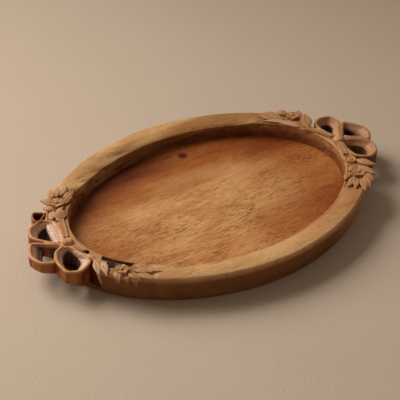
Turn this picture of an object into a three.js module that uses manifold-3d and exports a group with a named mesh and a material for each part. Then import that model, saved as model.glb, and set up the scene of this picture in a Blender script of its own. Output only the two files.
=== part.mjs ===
// Carved wooden tray: an oval rim in four pieces round a floor of three boards, with a pierced ribbon
// bow at each end. Millimetres. +X runs to the right-hand bow, +Y to the back, +Z up; the origin is on the
// table, under the middle of the tray.
import * as THREE from "three";
import { mergeVertices } from "three/addons/utils/BufferGeometryUtils.js";
import Module from "manifold-3d";

// Rim: an oval band with a flat top.
const rimHalfLength = 188;
const rimHalfWidth = 136;
const rimWidthEnd = 25;
const rimWidthSide = 27;
const rimFullness = 1.91; // exponent of the outer oval: 2 is an ellipse, less is leaner
const wellFullness = 1.99;
const trayHeight = 31.5;
const footInsetEnd = 6.5; // how far the outer wall leans in from its top to the table
const footInsetSide = 4.5;
const footRound = 2.5;
const outerEdgeRound = 1.6;
const innerEdgeRound = 1;
const edgeMiddle = 0.3; // how far in, and down, the middle of a rounded edge lies, as a share of its round

// Well and floor.
const wellDepth = 16.5;
const wellDraft = 2.8; // how far the inner wall leans in from its top to the floor
const floorThickness = 10;
const rabbetWidth = 6; // ledge above the edge of the floor boards
const middleBoardWidth = 76;
const tongueDepth = 4;
const tongueThickness = 3;

// Joints of the rim. Turns are degrees round the oval, from the middle of an end.
const jointTurn = 44;
const rimDowelDiameter = 8;
const rimDowelLength = 36;
const rimDowelHeights = [8.5, 21];
const rimDowelAcross = 0.47; // share of the rim's width, from the well outwards

// Bows. Each is let into a seat cut in the outer side of the end, on a low ledge.
const seatTurn = 22.5;
const endWall = 7.5; // wood left between the well and the bow at the middle of an end
const ledgeHeight = 5;
const bowPlate = 5; // the bow's own back, glued to the end wall
const bowBackDrop = 0.5; // how far its top edge lies below the loops
const ribbonThickness = 3.4;
const ribbonEdgeRound = 1.1;
const funnelDepth = 6; // each loop's hollow narrows over this depth, and goes straight down from there
const funnelShare = 0.7; // size of the narrowed hollow, as a share of its mouth
const loopSteps = 30;
const mitreLimit = 0.4;
const bowRootInset = 10; // from the end of the outer oval in to the point where the loops meet
const bowReach = 37.2; // from there out to the middle of the farthest ribbon
const bowSpread = 0.34 * rimHalfWidth; // from there to the back, or the front, of the large loops
const leftBowOffset = 4; // of a bow's middle from the tray's long axis, positive to the back
const rightBowOffset = -1;
const hubDiameter = 10;
const knotLength = 12;
const knotWidth = 11;
const knotHeight = 3.6; // above the rim
const knotSetBack = 3.5; // from where the loops meet, towards the well
const underCutLength = 47; // from the end wall to the tips, over which the underside rises
const underCutRise = 14;
const bowDowelDiameter = 5;
const bowDowelInWall = 5;
const bowDowelInBow = 8.5;
const bowDowelDepths = [12.7, 5.1]; // of their middles, below the top of the rim

// Carved relief on the end blocks.
const tailWidth = 5.4;
const tailAcross = 0.14;
const tailStart = 1; // degrees from the middle of the bow
const tailRise = 1.8;
const leafRise = 3.4;
const leafRoot = 2.4; // how deep a leaf is sunk in the block, and how thick a tip is where it stands out
const flowerRise = 3.2;
const flowerScallop = 0.14; // depth of the notches between its petals, as a share of the radius
const reliefSteps = 5;
const sideRise = 0.3; // height of a strip's sides, as a share of its ridge

// Clearances.
const fitGap = 0.3;
const holeGap = 0.3;
const blindEnd = 1; // room past the end of a dowel

// Loops of each bow: the middle of the ribbon passes through these places, [out, back] from the point where
// the loops meet, as shares of bowReach and bowSpread, from the front side of a loop round to its back side.
// A hollow narrows about the middle of its loop where lean is 0, and about its root where lean is 1.
const bows = {
  left: {
    side: -1,
    offset: leftBowOffset,
    loops: [
      {
        lean: 0.4,
        through: [[0.38, 0.35], [0.56, 0.61], [0.4, 0.91], [-0.05, 1], [-0.3, 0.8], [-0.22, 0.43]],
      },
      {
        lean: 0.7,
        through: [[0.35, -0.13], [0.59, -0.39], [0.89, -0.28], [1, 0.04], [0.73, 0.41], [0.4, 0.24]],
      },
      {
        lean: 0.2,
        through: [[-0.22, -0.43], [-0.19, -0.78], [0.22, -0.95], [0.54, -0.82], [0.54, -0.43], [0.35, -0.13]],
      },
      {
        lean: 0,
        root: [-0.3, 1.2],
        through: [[0, 1.03], [0.12, 1.09], [0.09, 1.24], [-0.05, 1.35]],
      },
    ],
  },
  right: {
    side: 1,
    offset: rightBowOffset,
    loops: [
      {
        lean: 0.1,
        through: [[0.27, 0.3], [0.54, 0.56], [0.51, 0.87], [0.16, 0.95], [-0.13, 0.8], [-0.16, 0.43]],
      },
      {
        lean: 0.3,
        through: [[0.38, -0.15], [0.7, -0.39], [0.94, -0.19], [0.985, 0.09], [0.67, 0.48], [0.32, 0.24]],
      },
      {
        lean: 0.4,
        through: [[-0.19, -0.39], [-0.19, -0.78], [0.13, -0.97], [0.48, -0.87], [0.65, -0.52], [0.38, -0.17]],
      },
    ],
  },
};

// Carved sprays, one on each quarter of the rim: places are [turn, across].
const sprays = {
  left_back: {
    side: -1,
    hand: 1,
    tailEnd: 19,
    folds: [{ at: [18, 0.28], to: [27.5, 0.36], width: 11 }],
    flower: { at: [32.4, 0.54], radius: 7, petals: 5 },
    leaves: [
      { at: [33, 0.34], to: [42.5, 0.08], width: 7.5 },
      { at: [36, 0.55], to: [43.6, 0.6], width: 7.5 },
      { at: [35, 0.68], to: [41.8, 0.84], width: 7 },
      { at: [33, 0.8], to: [39.5, 1.1], width: 8 },
      { at: [28.5, 0.7], to: [32.2, 1.22], width: 8 },
      { at: [24.5, 0.62], to: [29, 0.98], width: 8 },
    ],
  },
  left_front: {
    side: -1,
    hand: -1,
    tailEnd: 13,
    folds: [{ at: [12.5, 0.26], to: [20, 0.34], width: 7 }, { at: [19, 0.52], to: [25.5, 1.06], width: 7 }],
    flower: { at: [31, 0.62], radius: 6.5, petals: 5 },
    leaves: [
      { at: [31.5, 0.34], to: [40, 0.22], width: 8.5 },
      { at: [33.5, 0.6], to: [42.8, 0.5], width: 8 },
      { at: [34, 0.82], to: [43.4, 0.86], width: 8 },
      { at: [32.5, 0.9], to: [38.5, 1.14], width: 7.5 },
      { at: [27.5, 0.72], to: [30.5, 1.2], width: 7.5 },
    ],
    hollow: { corners: [[18.5, -0.05], [33, -0.05], [29.2, 0.42], [25, 0.55], [20, 0.42]], depth: 2.2 },
  },
  right_back: {
    side: 1,
    hand: 1,
    tailEnd: 15,
    folds: [{ at: [17.5, 0.14], to: [26, 0.3], width: 9 }],
    flower: { at: [29.5, 0.66], radius: 6.5, petals: 5 },
    leaves: [
      { at: [20.5, 0.42], to: [24.8, 1.36], width: 9 },
      { at: [27, 0.3], to: [36.5, 0.1], width: 8 },
      { at: [30.5, 0.9], to: [31.5, 1.22], width: 8 },
      { at: [32.3, 0.52], to: [42.8, 0.5], width: 10 },
      { at: [33.5, 0.86], to: [40, 1.12], width: 9.5 },
    ],
  },
  right_front: {
    side: 1,
    hand: -1,
    tailEnd: 15.5,
    folds: [],
    scroll: { at: [21.6, 0.3], radius: 6.8 },
    flower: { at: [33.2, 0.53], radius: 7, petals: 5 },
    leaves: [
      { at: [23.2, 0.6], to: [26.8, 1.28], width: 9 },
      { at: [27.6, 0.66], to: [32, 1.24], width: 9 },
      { at: [36.5, 0.42], to: [43.6, 0.18], width: 7.5 },
      { at: [37, 0.6], to: [43.8, 0.66], width: 7 },
      { at: [35.5, 0.85], to: [42.5, 1.1], width: 8.5 },
      { at: [26, 0.3], to: [30, 0.05], width: 6.5 },
    ],
  },
};

const wasm = await Module();
wasm.setup();

// A closed geometry as a solid that can be joined and cut.
function solidOf(geometry) {
  geometry.deleteAttribute("normal");
  geometry.deleteAttribute("uv");
  const merged = mergeVertices(geometry, 1e-4);
  return new wasm.Manifold(new wasm.Mesh({
    numProp: 3,
    vertProperties: merged.attributes.position.array,
    triVerts: new Uint32Array(merged.index.array),
  }));
}

function meshOf(solid, name, look) {
  const made = solid.getMesh();
  const geometry = new THREE.BufferGeometry();
  geometry.setAttribute("position", new THREE.BufferAttribute(made.vertProperties, 3));
  geometry.setIndex(new THREE.BufferAttribute(made.triVerts, 1));
  geometry.computeVertexNormals();
  const mesh = new THREE.Mesh(geometry, new THREE.MeshStandardMaterial(look));
  mesh.name = name;
  return mesh;
}

function joined(solids) {
  return solids.reduce((sum, solid) => sum.add(solid));
}

// A skin through rings of points. A closed skin runs round like a tyre, and an open one has a flat fan at
// each end.
function loft(rings, closed = false) {
  const count = rings[0].length;
  const points = rings.flat();
  const faces = [];
  const spans = closed ? rings.length : rings.length - 1;
  for (let i = 0; i < spans; i += 1) {
    const next = (i + 1) % rings.length;
    for (let j = 0; j < count; j += 1) {
      const k = (j + 1) % count;
      faces.push(i * count + j, i * count + k, next * count + k);
      faces.push(i * count + j, next * count + k, next * count + j);
    }
  }
  if (!closed) {
    for (const [ring, turned] of [[0, true], [rings.length - 1, false]]) {
      const middle = rings[ring].reduce((sum, p) => sum.clone().add(p)).clone().divideScalar(count);
      points.push(middle);
      for (let j = 0; j < count; j += 1) {
        const a = ring * count + j;
        const b = ring * count + ((j + 1) % count);
        faces.push(...(turned ? [points.length - 1, b, a] : [points.length - 1, a, b]));
      }
    }
  }
  const geometry = new THREE.BufferGeometry().setFromPoints(points);
  geometry.setIndex(faces);
  return solidOf(geometry);
}

// A flat outline raised between two heights.
function prism(outline, low, high) {
  const shape = new THREE.Shape(outline);
  const geometry = new THREE.ExtrudeGeometry(shape, { depth: high - low, bevelEnabled: false });
  geometry.translate(0, 0, low);
  return solidOf(geometry);
}

function rod(radius, length, middle, direction, sides = 16) {
  const geometry = new THREE.CylinderGeometry(radius, radius, length, sides);
  const turn = new THREE.Quaternion().setFromUnitVectors(new THREE.Vector3(0, 1, 0), direction);
  geometry.applyQuaternion(turn);
  geometry.translate(middle.x, middle.y, middle.z);
  return solidOf(geometry);
}

// Ovals of the rim.
function ovalPoint(halfLength, halfWidth, fullness, degrees) {
  const turn = THREE.MathUtils.degToRad(degrees);
  const power = 2 / fullness;
  const cos = Math.cos(turn);
  const sin = Math.sin(turn);
  return new THREE.Vector2(
    halfLength * Math.sign(cos) * Math.abs(cos) ** power,
    halfWidth * Math.sign(sin) * Math.abs(sin) ** power,
  );
}

function outerPoint(degrees, inset = 0) {
  return ovalPoint(rimHalfLength - inset, rimHalfWidth - inset, rimFullness, degrees);
}

function footPoint(degrees, inset) {
  const halfLength = rimHalfLength - footInsetEnd - inset;
  return ovalPoint(halfLength, rimHalfWidth - footInsetSide - inset, rimFullness, degrees);
}

function wellPoint(degrees, outset = 0) {
  const halfLength = rimHalfLength - rimWidthEnd + outset;
  return ovalPoint(halfLength, rimHalfWidth - rimWidthSide + outset, wellFullness, degrees);
}

// A place on the rim: across is 0 at the well and 1 at the outer edge.
function rimPoint(degrees, across) {
  return wellPoint(degrees).lerp(outerPoint(degrees), across);
}

// The same, counted from the middle of the end on one side (-1 left, 1 right), towards the back when hand
// is 1.
function quarterPoint(side, hand, [turn, across]) {
  const place = rimPoint(turn, across);
  return new THREE.Vector2(side * place.x, hand * place.y);
}

function above(point, height) {
  return new THREE.Vector3(point.x, point.y, height);
}

const floorTop = trayHeight - wellDepth;
const floorUnderside = floorTop - floorThickness;

// The whole rim before it is cut into four: one section, carried round the ovals.
function rimRing() {
  const steps = 80;
  const rings = [];
  for (let i = 0; i < steps; i += 1) {
    const turn = (i * 360) / steps;
    rings.push([
      above(wellPoint(turn, rabbetWidth - wellDraft), 0),
      above(wellPoint(turn, rabbetWidth - wellDraft), floorTop),
      above(wellPoint(turn, -wellDraft), floorTop),
      above(wellPoint(turn), trayHeight - innerEdgeRound),
      above(wellPoint(turn, innerEdgeRound), trayHeight),
      above(outerPoint(turn, outerEdgeRound), trayHeight),
      above(outerPoint(turn, edgeMiddle * outerEdgeRound), trayHeight - edgeMiddle * outerEdgeRound),
      above(outerPoint(turn), trayHeight - outerEdgeRound),
      above(footPoint(turn, 0), footRound),
      above(footPoint(turn, footRound), 0),
    ]);
  }
  return loft(rings, true);
}

// Points at even turns along one stretch of the rim.
function stretch(fromTurn, toTurn, steps, pointAt) {
  const points = [];
  for (let i = 0; i <= steps; i += 1) {
    points.push(pointAt(fromTurn + ((toTurn - fromTurn) * i) / steps));
  }
  return points;
}

// The part of the plan between two turns, as an outline from inside the well to well outside the tray.
function sector(fromTurn, toTurn) {
  return [
    ...stretch(fromTurn, toTurn, 8, (turn) => rimPoint(turn, 2.5)),
    ...stretch(toTurn, fromTurn, 8, (turn) => rimPoint(turn, -1)),
  ];
}

const jointRadius = rimPoint(jointTurn, 0.5).length();
const halfJoint = THREE.MathUtils.radToDeg(fitGap / 2 / jointRadius);

function rimPiece(fromTurn, toTurn) {
  const cutter = prism(sector(fromTurn + halfJoint, toTurn - halfJoint), -1, trayHeight + 1);
  return ring.intersect(cutter);
}

// The two dowels of a joint, along the rim where it crosses the joint.
function rimDowels(jointAt, growRadius, growLength) {
  const middle = rimPoint(jointAt, rimDowelAcross);
  const along = rimPoint(jointAt + 1, rimDowelAcross).sub(rimPoint(jointAt - 1, rimDowelAcross)).normalize();
  const direction = above(along, 0);
  return rimDowelHeights.map((height) => rod(
    rimDowelDiameter / 2 + growRadius,
    rimDowelLength + 2 * growLength,
    above(middle, height),
    direction,
  ));
}

// Bows.
const endWallAcross = endWall / rimWidthEnd;

function seatOutline() {
  return [
    ...stretch(-seatTurn, seatTurn, 16, (turn) => rimPoint(turn, endWallAcross)),
    rimPoint(seatTurn, 3.5),
    rimPoint(-seatTurn, 3.5),
  ];
}

// A plan outline drawn for the right-hand end, moved to the bow's own end.
function atEnd(bow, outline) {
  return bow.side < 0 ? outline.map((p) => new THREE.Vector2(-p.x, p.y)).reverse() : outline;
}

// What the bow must keep out of: the end block, grown by the fit gap, up to the top of the rim.
function bowKeepOut(bow) {
  const far = 60; // degrees, past everything that the bow reaches
  const wall = endWallAcross + fitGap / rimWidthEnd;
  const seatEnd = seatTurn - THREE.MathUtils.radToDeg(fitGap / rimHalfLength);
  const outside = (turn) => outerPoint(turn, -fitGap);
  return prism(atEnd(bow, [
    new THREE.Vector2(0, -rimHalfWidth),
    ...stretch(-far, -seatEnd, 12, outside),
    ...stretch(-seatEnd, seatEnd, 16, (turn) => rimPoint(turn, wall)),
    ...stretch(seatEnd, far, 12, outside),
    new THREE.Vector2(0, rimHalfWidth),
  ]), -1, trayHeight);
}

// A place of a bow, given as [out, back], before the bow is turned to its own end.
function bowPlace(bow, [out, back]) {
  return new THREE.Vector2(rimHalfLength - bowRootInset + bowReach * out, bow.offset + bowSpread * back);
}

// Middle line of one loop's ribbon, from its root round and back to it.
function loopLine(bow, loop) {
  const root = loop.root ?? [0, 0];
  const places = [root, ...loop.through, root].map((place) => bowPlace(bow, place));
  return new THREE.SplineCurve(places).getPoints(loopSteps).slice(0, -1);
}

// An outline with each point moved outwards, or inwards where the amount is negative.
function grown(outline, amount) {
  const count = outline.length;
  return outline.map((point, i) => {
    const before = point.clone().sub(outline[(i + count - 1) % count]).normalize();
    const after = outline[(i + 1) % count].clone().sub(point).normalize();
    const out = new THREE.Vector2(before.y + after.y, -before.x - after.x).normalize();
    const lean = out.x * before.y - out.y * before.x;
    return point.clone().addScaledVector(out, amount / Math.max(mitreLimit, lean));
  });
}

// Outline of one loop at a distance outside the middle line of its ribbon, at a share of its own size.
function loopOutline(bow, loop, outside, size = 1) {
  const line = loopLine(bow, loop);
  const middle = line.reduce((sum, p) => sum.clone().add(p)).clone().divideScalar(line.length);
  const about = middle.lerp(line[0], loop.lean);
  const outline = grown(line, outside);
  return atEnd(bow, outline.map((p) => p.clone().sub(about).multiplyScalar(size).add(about)));
}

function loopSolid(bow, loop) {
  const levels = [
    [0, 0],
    [trayHeight - ribbonEdgeRound, 0],
    [trayHeight - edgeMiddle * ribbonEdgeRound, edgeMiddle],
    [trayHeight, 1],
  ];
  return loft(levels.map(([height, share]) => (
    loopOutline(bow, loop, ribbonThickness / 2 - share * ribbonEdgeRound).map((p) => above(p, height))
  )));
}

// The hollow of a loop: a funnel at its mouth, and straight down from there.
function loopHollow(bow, loop) {
  const mouth = -ribbonThickness / 2;
  // Height, distance outside the ribbon's middle line, and size.
  const levels = [
    [-1, mouth, funnelShare],
    [trayHeight - funnelDepth, mouth, funnelShare],
    [trayHeight - ribbonEdgeRound, mouth, 1],
    [trayHeight, mouth + ribbonEdgeRound, 1],
    [trayHeight + 1, mouth + ribbonEdgeRound, 1],
  ];
  return loft(levels.map(([height, outside, size]) => (
    loopOutline(bow, loop, outside, size).map((p) => above(p, height))
  )));
}

function bowKnot(bow, grow) {
  const geometry = new THREE.SphereGeometry(1, 18, 12);
  geometry.rotateX(Math.PI / 2);
  geometry.scale(knotLength / 2 + grow, knotWidth / 2 + grow, knotHeight + grow);
  geometry.translate(bow.side * (rimHalfLength - bowRootInset - knotSetBack), bow.offset, trayHeight);
  return solidOf(geometry);
}

// Solid wood under the knot, where the ribbons meet.
function bowHub(bow) {
  const top = trayHeight - bowBackDrop;
  const x = bow.side * (rimHalfLength - bowRootInset);
  return rod(hubDiameter / 2, top, new THREE.Vector3(x, bow.offset, top / 2), new THREE.Vector3(0, 0, 1));
}

// The bow's back, along the end wall.
function bowBack(bow) {
  const limit = seatTurn - 1; // a degree short of the seat's ends
  const face = endWallAcross + (fitGap + bowPlate) / rimWidthEnd;
  return prism(atEnd(bow, [
    ...stretch(-limit, limit, 16, (turn) => rimPoint(turn, face)),
    ...stretch(limit, -limit, 16, (turn) => rimPoint(turn, 0)),
  ]), ledgeHeight, trayHeight - bowBackDrop);
}

// Everything below the bow: a hollow curve that rises from the end wall to the tips.
function underBow(bow, lift) {
  const steps = 12;
  const wallAt = rimHalfLength - rimWidthEnd + endWall;
  const base = ledgeHeight + lift;
  const outline = [new THREE.Vector2(wallAt - rimWidthEnd, -1)];
  outline.push(new THREE.Vector2(wallAt + 2 * underCutLength, -1));
  outline.push(new THREE.Vector2(wallAt + 2 * underCutLength, base + underCutRise));
  for (let i = steps; i >= 0; i -= 1) {
    const share = i / steps;
    const height = base + underCutRise * Math.sin((share * Math.PI) / 2);
    outline.push(new THREE.Vector2(wallAt + underCutLength * share, height));
  }
  outline.push(new THREE.Vector2(wallAt - rimWidthEnd, base));
  const depth = 2 * rimHalfWidth;
  const shape = new THREE.Shape(atEnd(bow, outline));
  const geometry = new THREE.ExtrudeGeometry(shape, { depth, bevelEnabled: false });
  geometry.rotateX(Math.PI / 2);
  geometry.translate(0, depth / 2, 0);
  return solidOf(geometry);
}

function bowDowels(bow, growRadius, growLength) {
  const wallAt = rimHalfLength - rimWidthEnd + endWall;
  const middle = wallAt + (bowDowelInBow - bowDowelInWall) / 2;
  return bowDowelDepths.map((depth) => rod(
    bowDowelDiameter / 2 + growRadius,
    bowDowelInBow + bowDowelInWall + 2 * growLength,
    new THREE.Vector3(bow.side * middle, bow.offset, trayHeight - depth),
    new THREE.Vector3(1, 0, 0),
  ));
}

function bowSolid(bow) {
  const loops = joined(bow.loops.map((loop) => loopSolid(bow, loop)));
  const hollows = joined(bow.loops.map((loop) => loopHollow(bow, loop)));
  const body = loops.subtract(hollows).add(bowBack(bow)).add(bowHub(bow)).add(bowKnot(bow, 0));
  const seated = body.subtract(bowKeepOut(bow)).subtract(underBow(bow, fitGap));
  return seated.subtract(joined(bowDowels(bow, holeGap, blindEnd)));
}

// Relief. A strip follows a list of [turn, across] places, with its half width and its rise at each share of
// its length.
function strip(spray, places, halfWidthAt, riseAt, steps) {
  const path = new THREE.CatmullRomCurve3(places.map((place) => (
    above(quarterPoint(spray.side, spray.hand, place), 0)
  )));
  const rings = [];
  for (let i = 0; i <= steps; i += 1) {
    const share = i / steps;
    const middle = path.getPoint(share);
    const along = path.getTangent(share);
    const out = new THREE.Vector3(along.y, -along.x, 0);
    const half = halfWidthAt(share);
    const rise = riseAt(share);
    const low = trayHeight - leafRoot;
    rings.push([
      middle.clone().addScaledVector(out, -half).setZ(low),
      middle.clone().addScaledVector(out, -half).setZ(trayHeight + sideRise * rise),
      middle.clone().setZ(trayHeight + rise),
      middle.clone().addScaledVector(out, half).setZ(trayHeight + sideRise * rise),
      middle.clone().addScaledVector(out, half).setZ(low),
    ]);
  }
  return loft(rings);
}

// A leaf is widest a little before its middle, and its ridge drops to the tip.
function leaf(spray, { at, to, width }) {
  const widest = 0.4; // share of the length where the leaf is widest
  const tip = 0.08;
  const power = Math.log(0.5) / Math.log(widest);
  const halfWidth = (share) => (width / 2) * Math.max(tip, Math.sin(Math.PI * share ** power));
  const rise = (share) => leafRise * (tip + (1 - tip) * Math.cos((Math.PI / 2) * Math.abs(share - widest)));
  return strip(spray, [at, to], halfWidth, rise, reliefSteps);
}

// A fold of the ribbon bulges up between two narrower ends.
function fold(spray, { at, to, width }) {
  const end = 0.6; // width of its ends, as a share
  const bulge = (share) => Math.sin(Math.PI * share);
  const halfWidth = (share) => (width / 2) * (end + (1 - end) * bulge(share));
  const rise = (share) => tailRise + (leafRise / 2) * bulge(share);
  return strip(spray, [at, to], halfWidth, rise, reliefSteps);
}

// A ribbon tail runs along the edge of the well, from the knot to its fold.
function tail(spray) {
  const places = stretch(tailStart, spray.tailEnd, reliefSteps, (turn) => [turn, tailAcross]);
  return strip(spray, places, () => tailWidth / 2, () => tailRise, 2 * reliefSteps);
}

// A flower or, without petals, a round scroll: a scalloped button with a dished middle and a boss.
function rosette(spray, { at, radius, petals = 0 }) {
  const middle = quarterPoint(spray.side, spray.hand, at);
  const steps = petals ? petals * 4 : 16;
  // Share of the radius, height above the rim, and how much of the scallop shows.
  const levels = [
    [1, -leafRoot, 1],
    [1, 0.4 * flowerRise, 1],
    [0.6, flowerRise, 0.5],
    [0.35, 0.45 * flowerRise, 0],
    [0.15, 0.9 * flowerRise, 0],
  ];
  return loft(levels.map(([share, height, scallop]) => {
    const points = [];
    for (let i = 0; i < steps; i += 1) {
      const turn = (2 * Math.PI * i) / steps;
      const wave = petals ? flowerScallop * scallop * Math.cos(petals * turn) : 0;
      const far = radius * share * (1 + wave);
      const place = new THREE.Vector2(middle.x + far * Math.cos(turn), middle.y + far * Math.sin(turn));
      points.push(above(place, trayHeight + height));
    }
    return points;
  }));
}

function sprayRelief(spray) {
  const relief = [tail(spray), rosette(spray, spray.flower)];
  relief.push(...spray.folds.map((piece) => fold(spray, piece)));
  relief.push(...spray.leaves.map((piece) => leaf(spray, piece)));
  if (spray.scroll) {
    relief.push(rosette(spray, spray.scroll));
  }
  return joined(relief);
}

// The shallow hollow beside the left front fold.
function sprayHollow(spray) {
  const { corners, depth } = spray.hollow;
  const outline = corners.map((corner) => quarterPoint(spray.side, spray.hand, corner));
  return prism(outline, trayHeight - depth, trayHeight + 1);
}

function endBlock(bow, quarters) {
  const middle = bow.side < 0 ? 180 : 0;
  const ends = [middle - jointTurn, middle + jointTurn];
  let block = rimPiece(...ends).subtract(joined(ends.flatMap((turn) => rimDowels(turn, holeGap, blindEnd))));
  for (const spray of quarters) {
    if (spray.hollow) {
      block = block.subtract(sprayHollow(spray));
    }
    block = block.add(sprayRelief(spray));
  }
  const seat = prism(atEnd(bow, seatOutline()), 0, trayHeight + fitGap).subtract(underBow(bow, 0));
  const aboveRim = prism(atEnd(bow, sector(-60, 60)), trayHeight, 2 * trayHeight);
  const knotRoom = bowKnot(bow, holeGap).intersect(aboveRim);
  return block.subtract(seat).subtract(knotRoom).subtract(joined(bowDowels(bow, holeGap, blindEnd)));
}

function rail(hand) {
  const middle = 90 * hand;
  const half = 90 - jointTurn;
  const piece = rimPiece(middle - half, middle + half);
  const ends = [middle - half, middle + half].map((turn) => joined(rimDowels(turn, holeGap, blindEnd)));
  return piece.subtract(joined(ends));
}

// Floor boards: the oval that fits the rabbet, cut along the grain, tongue and groove.
function floorOutline() {
  const steps = 72;
  const outset = rabbetWidth - wellDraft - fitGap;
  const outline = [];
  for (let i = 0; i < steps; i += 1) {
    outline.push(wellPoint((i * 360) / steps, outset));
  }
  return outline;
}

function slab(lowY, highY, low, high) {
  const geometry = new THREE.BoxGeometry(3 * rimHalfLength, highY - lowY, high - low);
  geometry.translate(0, (lowY + highY) / 2, (low + high) / 2);
  return solidOf(geometry);
}

function floorBoards() {
  const whole = prism(floorOutline(), floorUnderside, floorTop);
  const seam = middleBoardWidth / 2;
  const middleOfTongue = floorUnderside + floorThickness / 2;
  const tongueSpan = (grow) => slab(
    -seam - tongueDepth - grow,
    seam + tongueDepth + grow,
    middleOfTongue - tongueThickness / 2 - grow,
    middleOfTongue + tongueThickness / 2 + grow,
  );
  const wide = slab(-seam, seam, 0, trayHeight);
  const groove = tongueSpan(fitGap);
  const far = rimHalfWidth;
  return {
    front: whole.intersect(slab(-far, -seam, 0, trayHeight)).subtract(groove),
    middle: whole.intersect(wide.add(tongueSpan(0))),
    back: whole.intersect(slab(seam, far, 0, trayHeight)).subtract(groove),
  };
}

const ring = rimRing();
const rimWood = { color: "#c39459", roughness: 0.55, metalness: 0 };
const endWood = { color: "#bd8e60", roughness: 0.65, metalness: 0 };
const bowWood = { color: "#b07a50", roughness: 0.65, metalness: 0 };
const floorWood = { color: "#b5814f", roughness: 0.6, metalness: 0 };
const dowelWood = { color: "#d8bd92", roughness: 0.8, metalness: 0 };

const tray = new THREE.Group();
tray.add(meshOf(rail(-1), "rim_front_rail", rimWood));
tray.add(meshOf(rail(1), "rim_back_rail", rimWood));
tray.add(meshOf(endBlock(bows.left, [sprays.left_back, sprays.left_front]), "end_block_left", endWood));
tray.add(meshOf(endBlock(bows.right, [sprays.right_back, sprays.right_front]), "end_block_right", endWood));
tray.add(meshOf(bowSolid(bows.left), "bow_left", bowWood));
tray.add(meshOf(bowSolid(bows.right), "bow_right", bowWood));

for (const [place, board] of Object.entries(floorBoards())) {
  tray.add(meshOf(board, `floor_board_${place}`, floorWood));
}

const joints = {
  right_back: jointTurn,
  left_back: 180 - jointTurn,
  left_front: 180 + jointTurn,
  right_front: -jointTurn,
};
for (const [place, turn] of Object.entries(joints)) {
  rimDowels(turn, 0, 0).forEach((dowel, i) => {
    tray.add(meshOf(dowel, `rim_dowel_${place}_${i ? "upper" : "lower"}`, dowelWood));
  });
}
for (const [place, bow] of Object.entries(bows)) {
  bowDowels(bow, 0, 0).forEach((dowel, i) => {
    tray.add(meshOf(dowel, `bow_dowel_${place}_${i ? "upper" : "lower"}`, dowelWood));
  });
}

export default tray;
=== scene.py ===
# Carved wooden tray with a pierced ribbon bow at each end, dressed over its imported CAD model.
# Metres, in the CAD model's own frame: +X to the right-hand bow, +Y to the back, +Z up.
import math

import bmesh
import bpy
import numpy as np
from mathutils import Matrix, Vector, noise


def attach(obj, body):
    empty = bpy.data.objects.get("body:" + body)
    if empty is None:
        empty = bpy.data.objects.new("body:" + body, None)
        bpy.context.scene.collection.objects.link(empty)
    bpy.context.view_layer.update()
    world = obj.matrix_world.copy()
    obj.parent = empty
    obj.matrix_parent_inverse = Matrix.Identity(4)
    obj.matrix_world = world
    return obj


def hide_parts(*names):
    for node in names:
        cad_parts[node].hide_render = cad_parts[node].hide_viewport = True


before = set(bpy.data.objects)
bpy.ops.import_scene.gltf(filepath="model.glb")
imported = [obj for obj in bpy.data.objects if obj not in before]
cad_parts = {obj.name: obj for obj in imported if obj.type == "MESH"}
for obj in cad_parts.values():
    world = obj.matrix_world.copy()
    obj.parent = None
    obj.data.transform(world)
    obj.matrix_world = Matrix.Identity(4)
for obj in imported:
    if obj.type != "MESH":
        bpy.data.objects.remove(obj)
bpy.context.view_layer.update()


# Camera: it stands in front of the tray and to its left, and looks down on it at about 36 degrees, with a
# long lens, as the photograph was taken.
camera_turn = 37.0
camera_rise = 35.8
camera_roll = math.radians(1.87)
camera_distance = 1.4999
camera_aim = Vector((0.0043, 0.0244, 0))
film_width = 36.0
lens = 3.4704 * film_width


def direction(turn, rise):
    """The way from the tray to something to the left of its front, at a turn and a rise in degrees."""
    turn, rise = math.radians(turn), math.radians(rise)
    return Vector((-math.sin(turn) * math.cos(rise), -math.cos(turn) * math.cos(rise), math.sin(rise)))


def new_object(name, data):
    """An object put in the scene."""
    thing = bpy.data.objects.new(name, data)
    bpy.context.collection.objects.link(thing)
    return thing


back = direction(camera_turn, camera_rise)
right = direction(camera_turn - 90, 0)
up = back.cross(right)
turned_right = right * math.cos(camera_roll) + up * math.sin(camera_roll)
turned_up = up * math.cos(camera_roll) - right * math.sin(camera_roll)
camera_place = Matrix((turned_right, turned_up, back)).transposed().to_4x4()
camera_place.translation = camera_aim + back * camera_distance

camera_data = bpy.data.cameras.new("camera")
camera_data.sensor_fit = "HORIZONTAL"
camera_data.sensor_width = film_width
camera_data.lens = lens
camera_data.clip_end = 20
camera = new_object("camera", camera_data)
camera.matrix_world = camera_place
bpy.context.scene.camera = camera

# Light: one broad soft lamp behind the tray and to its left, like a window, and a weak warm sky. The lamp
# leaves the well's back wall and the front of the rim in shade and grazes the floor of the tray.
scene = bpy.context.scene
scene.view_settings.view_transform = "Standard"

window_turn = 150
window_rise = 37
window_distance = 1.7
window_aim = Vector((-0.3, -0.08, 0))
window_data = bpy.data.lights.new("window", "AREA")
window_data.shape = "RECTANGLE"
window_data.size = 1.4
window_data.size_y = 1.1
window_data.spread = math.radians(80)
window_data.energy = 8.6
window_data.color = (1.0, 0.98, 0.955)
window = new_object("window", window_data)
window.location = direction(window_turn, window_rise) * window_distance
window.rotation_euler = (window_aim - window.location).to_track_quat("-Z", "Y").to_euler()

sky = bpy.data.worlds.new("sky")
sky.use_nodes = True
glow = sky.node_tree.nodes["Background"].inputs
glow["Color"].default_value = (1.0, 0.86, 0.72, 1)
glow["Strength"].default_value = 0.19
scene.world = sky

# Table: a plain pale top, smooth and dull, with a faint cloudiness that keeps it from looking like paper.


def linear(code):
    """A colour written as sRGB hex, turned to the linear values that a shader takes."""
    channels = [int(code[i:i + 2], 16) / 255 for i in (1, 3, 5)]
    return tuple(c / 12.92 if c <= 0.04045 else ((c + 0.055) / 1.055) ** 2.4 for c in channels) + (1.0,)


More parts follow.
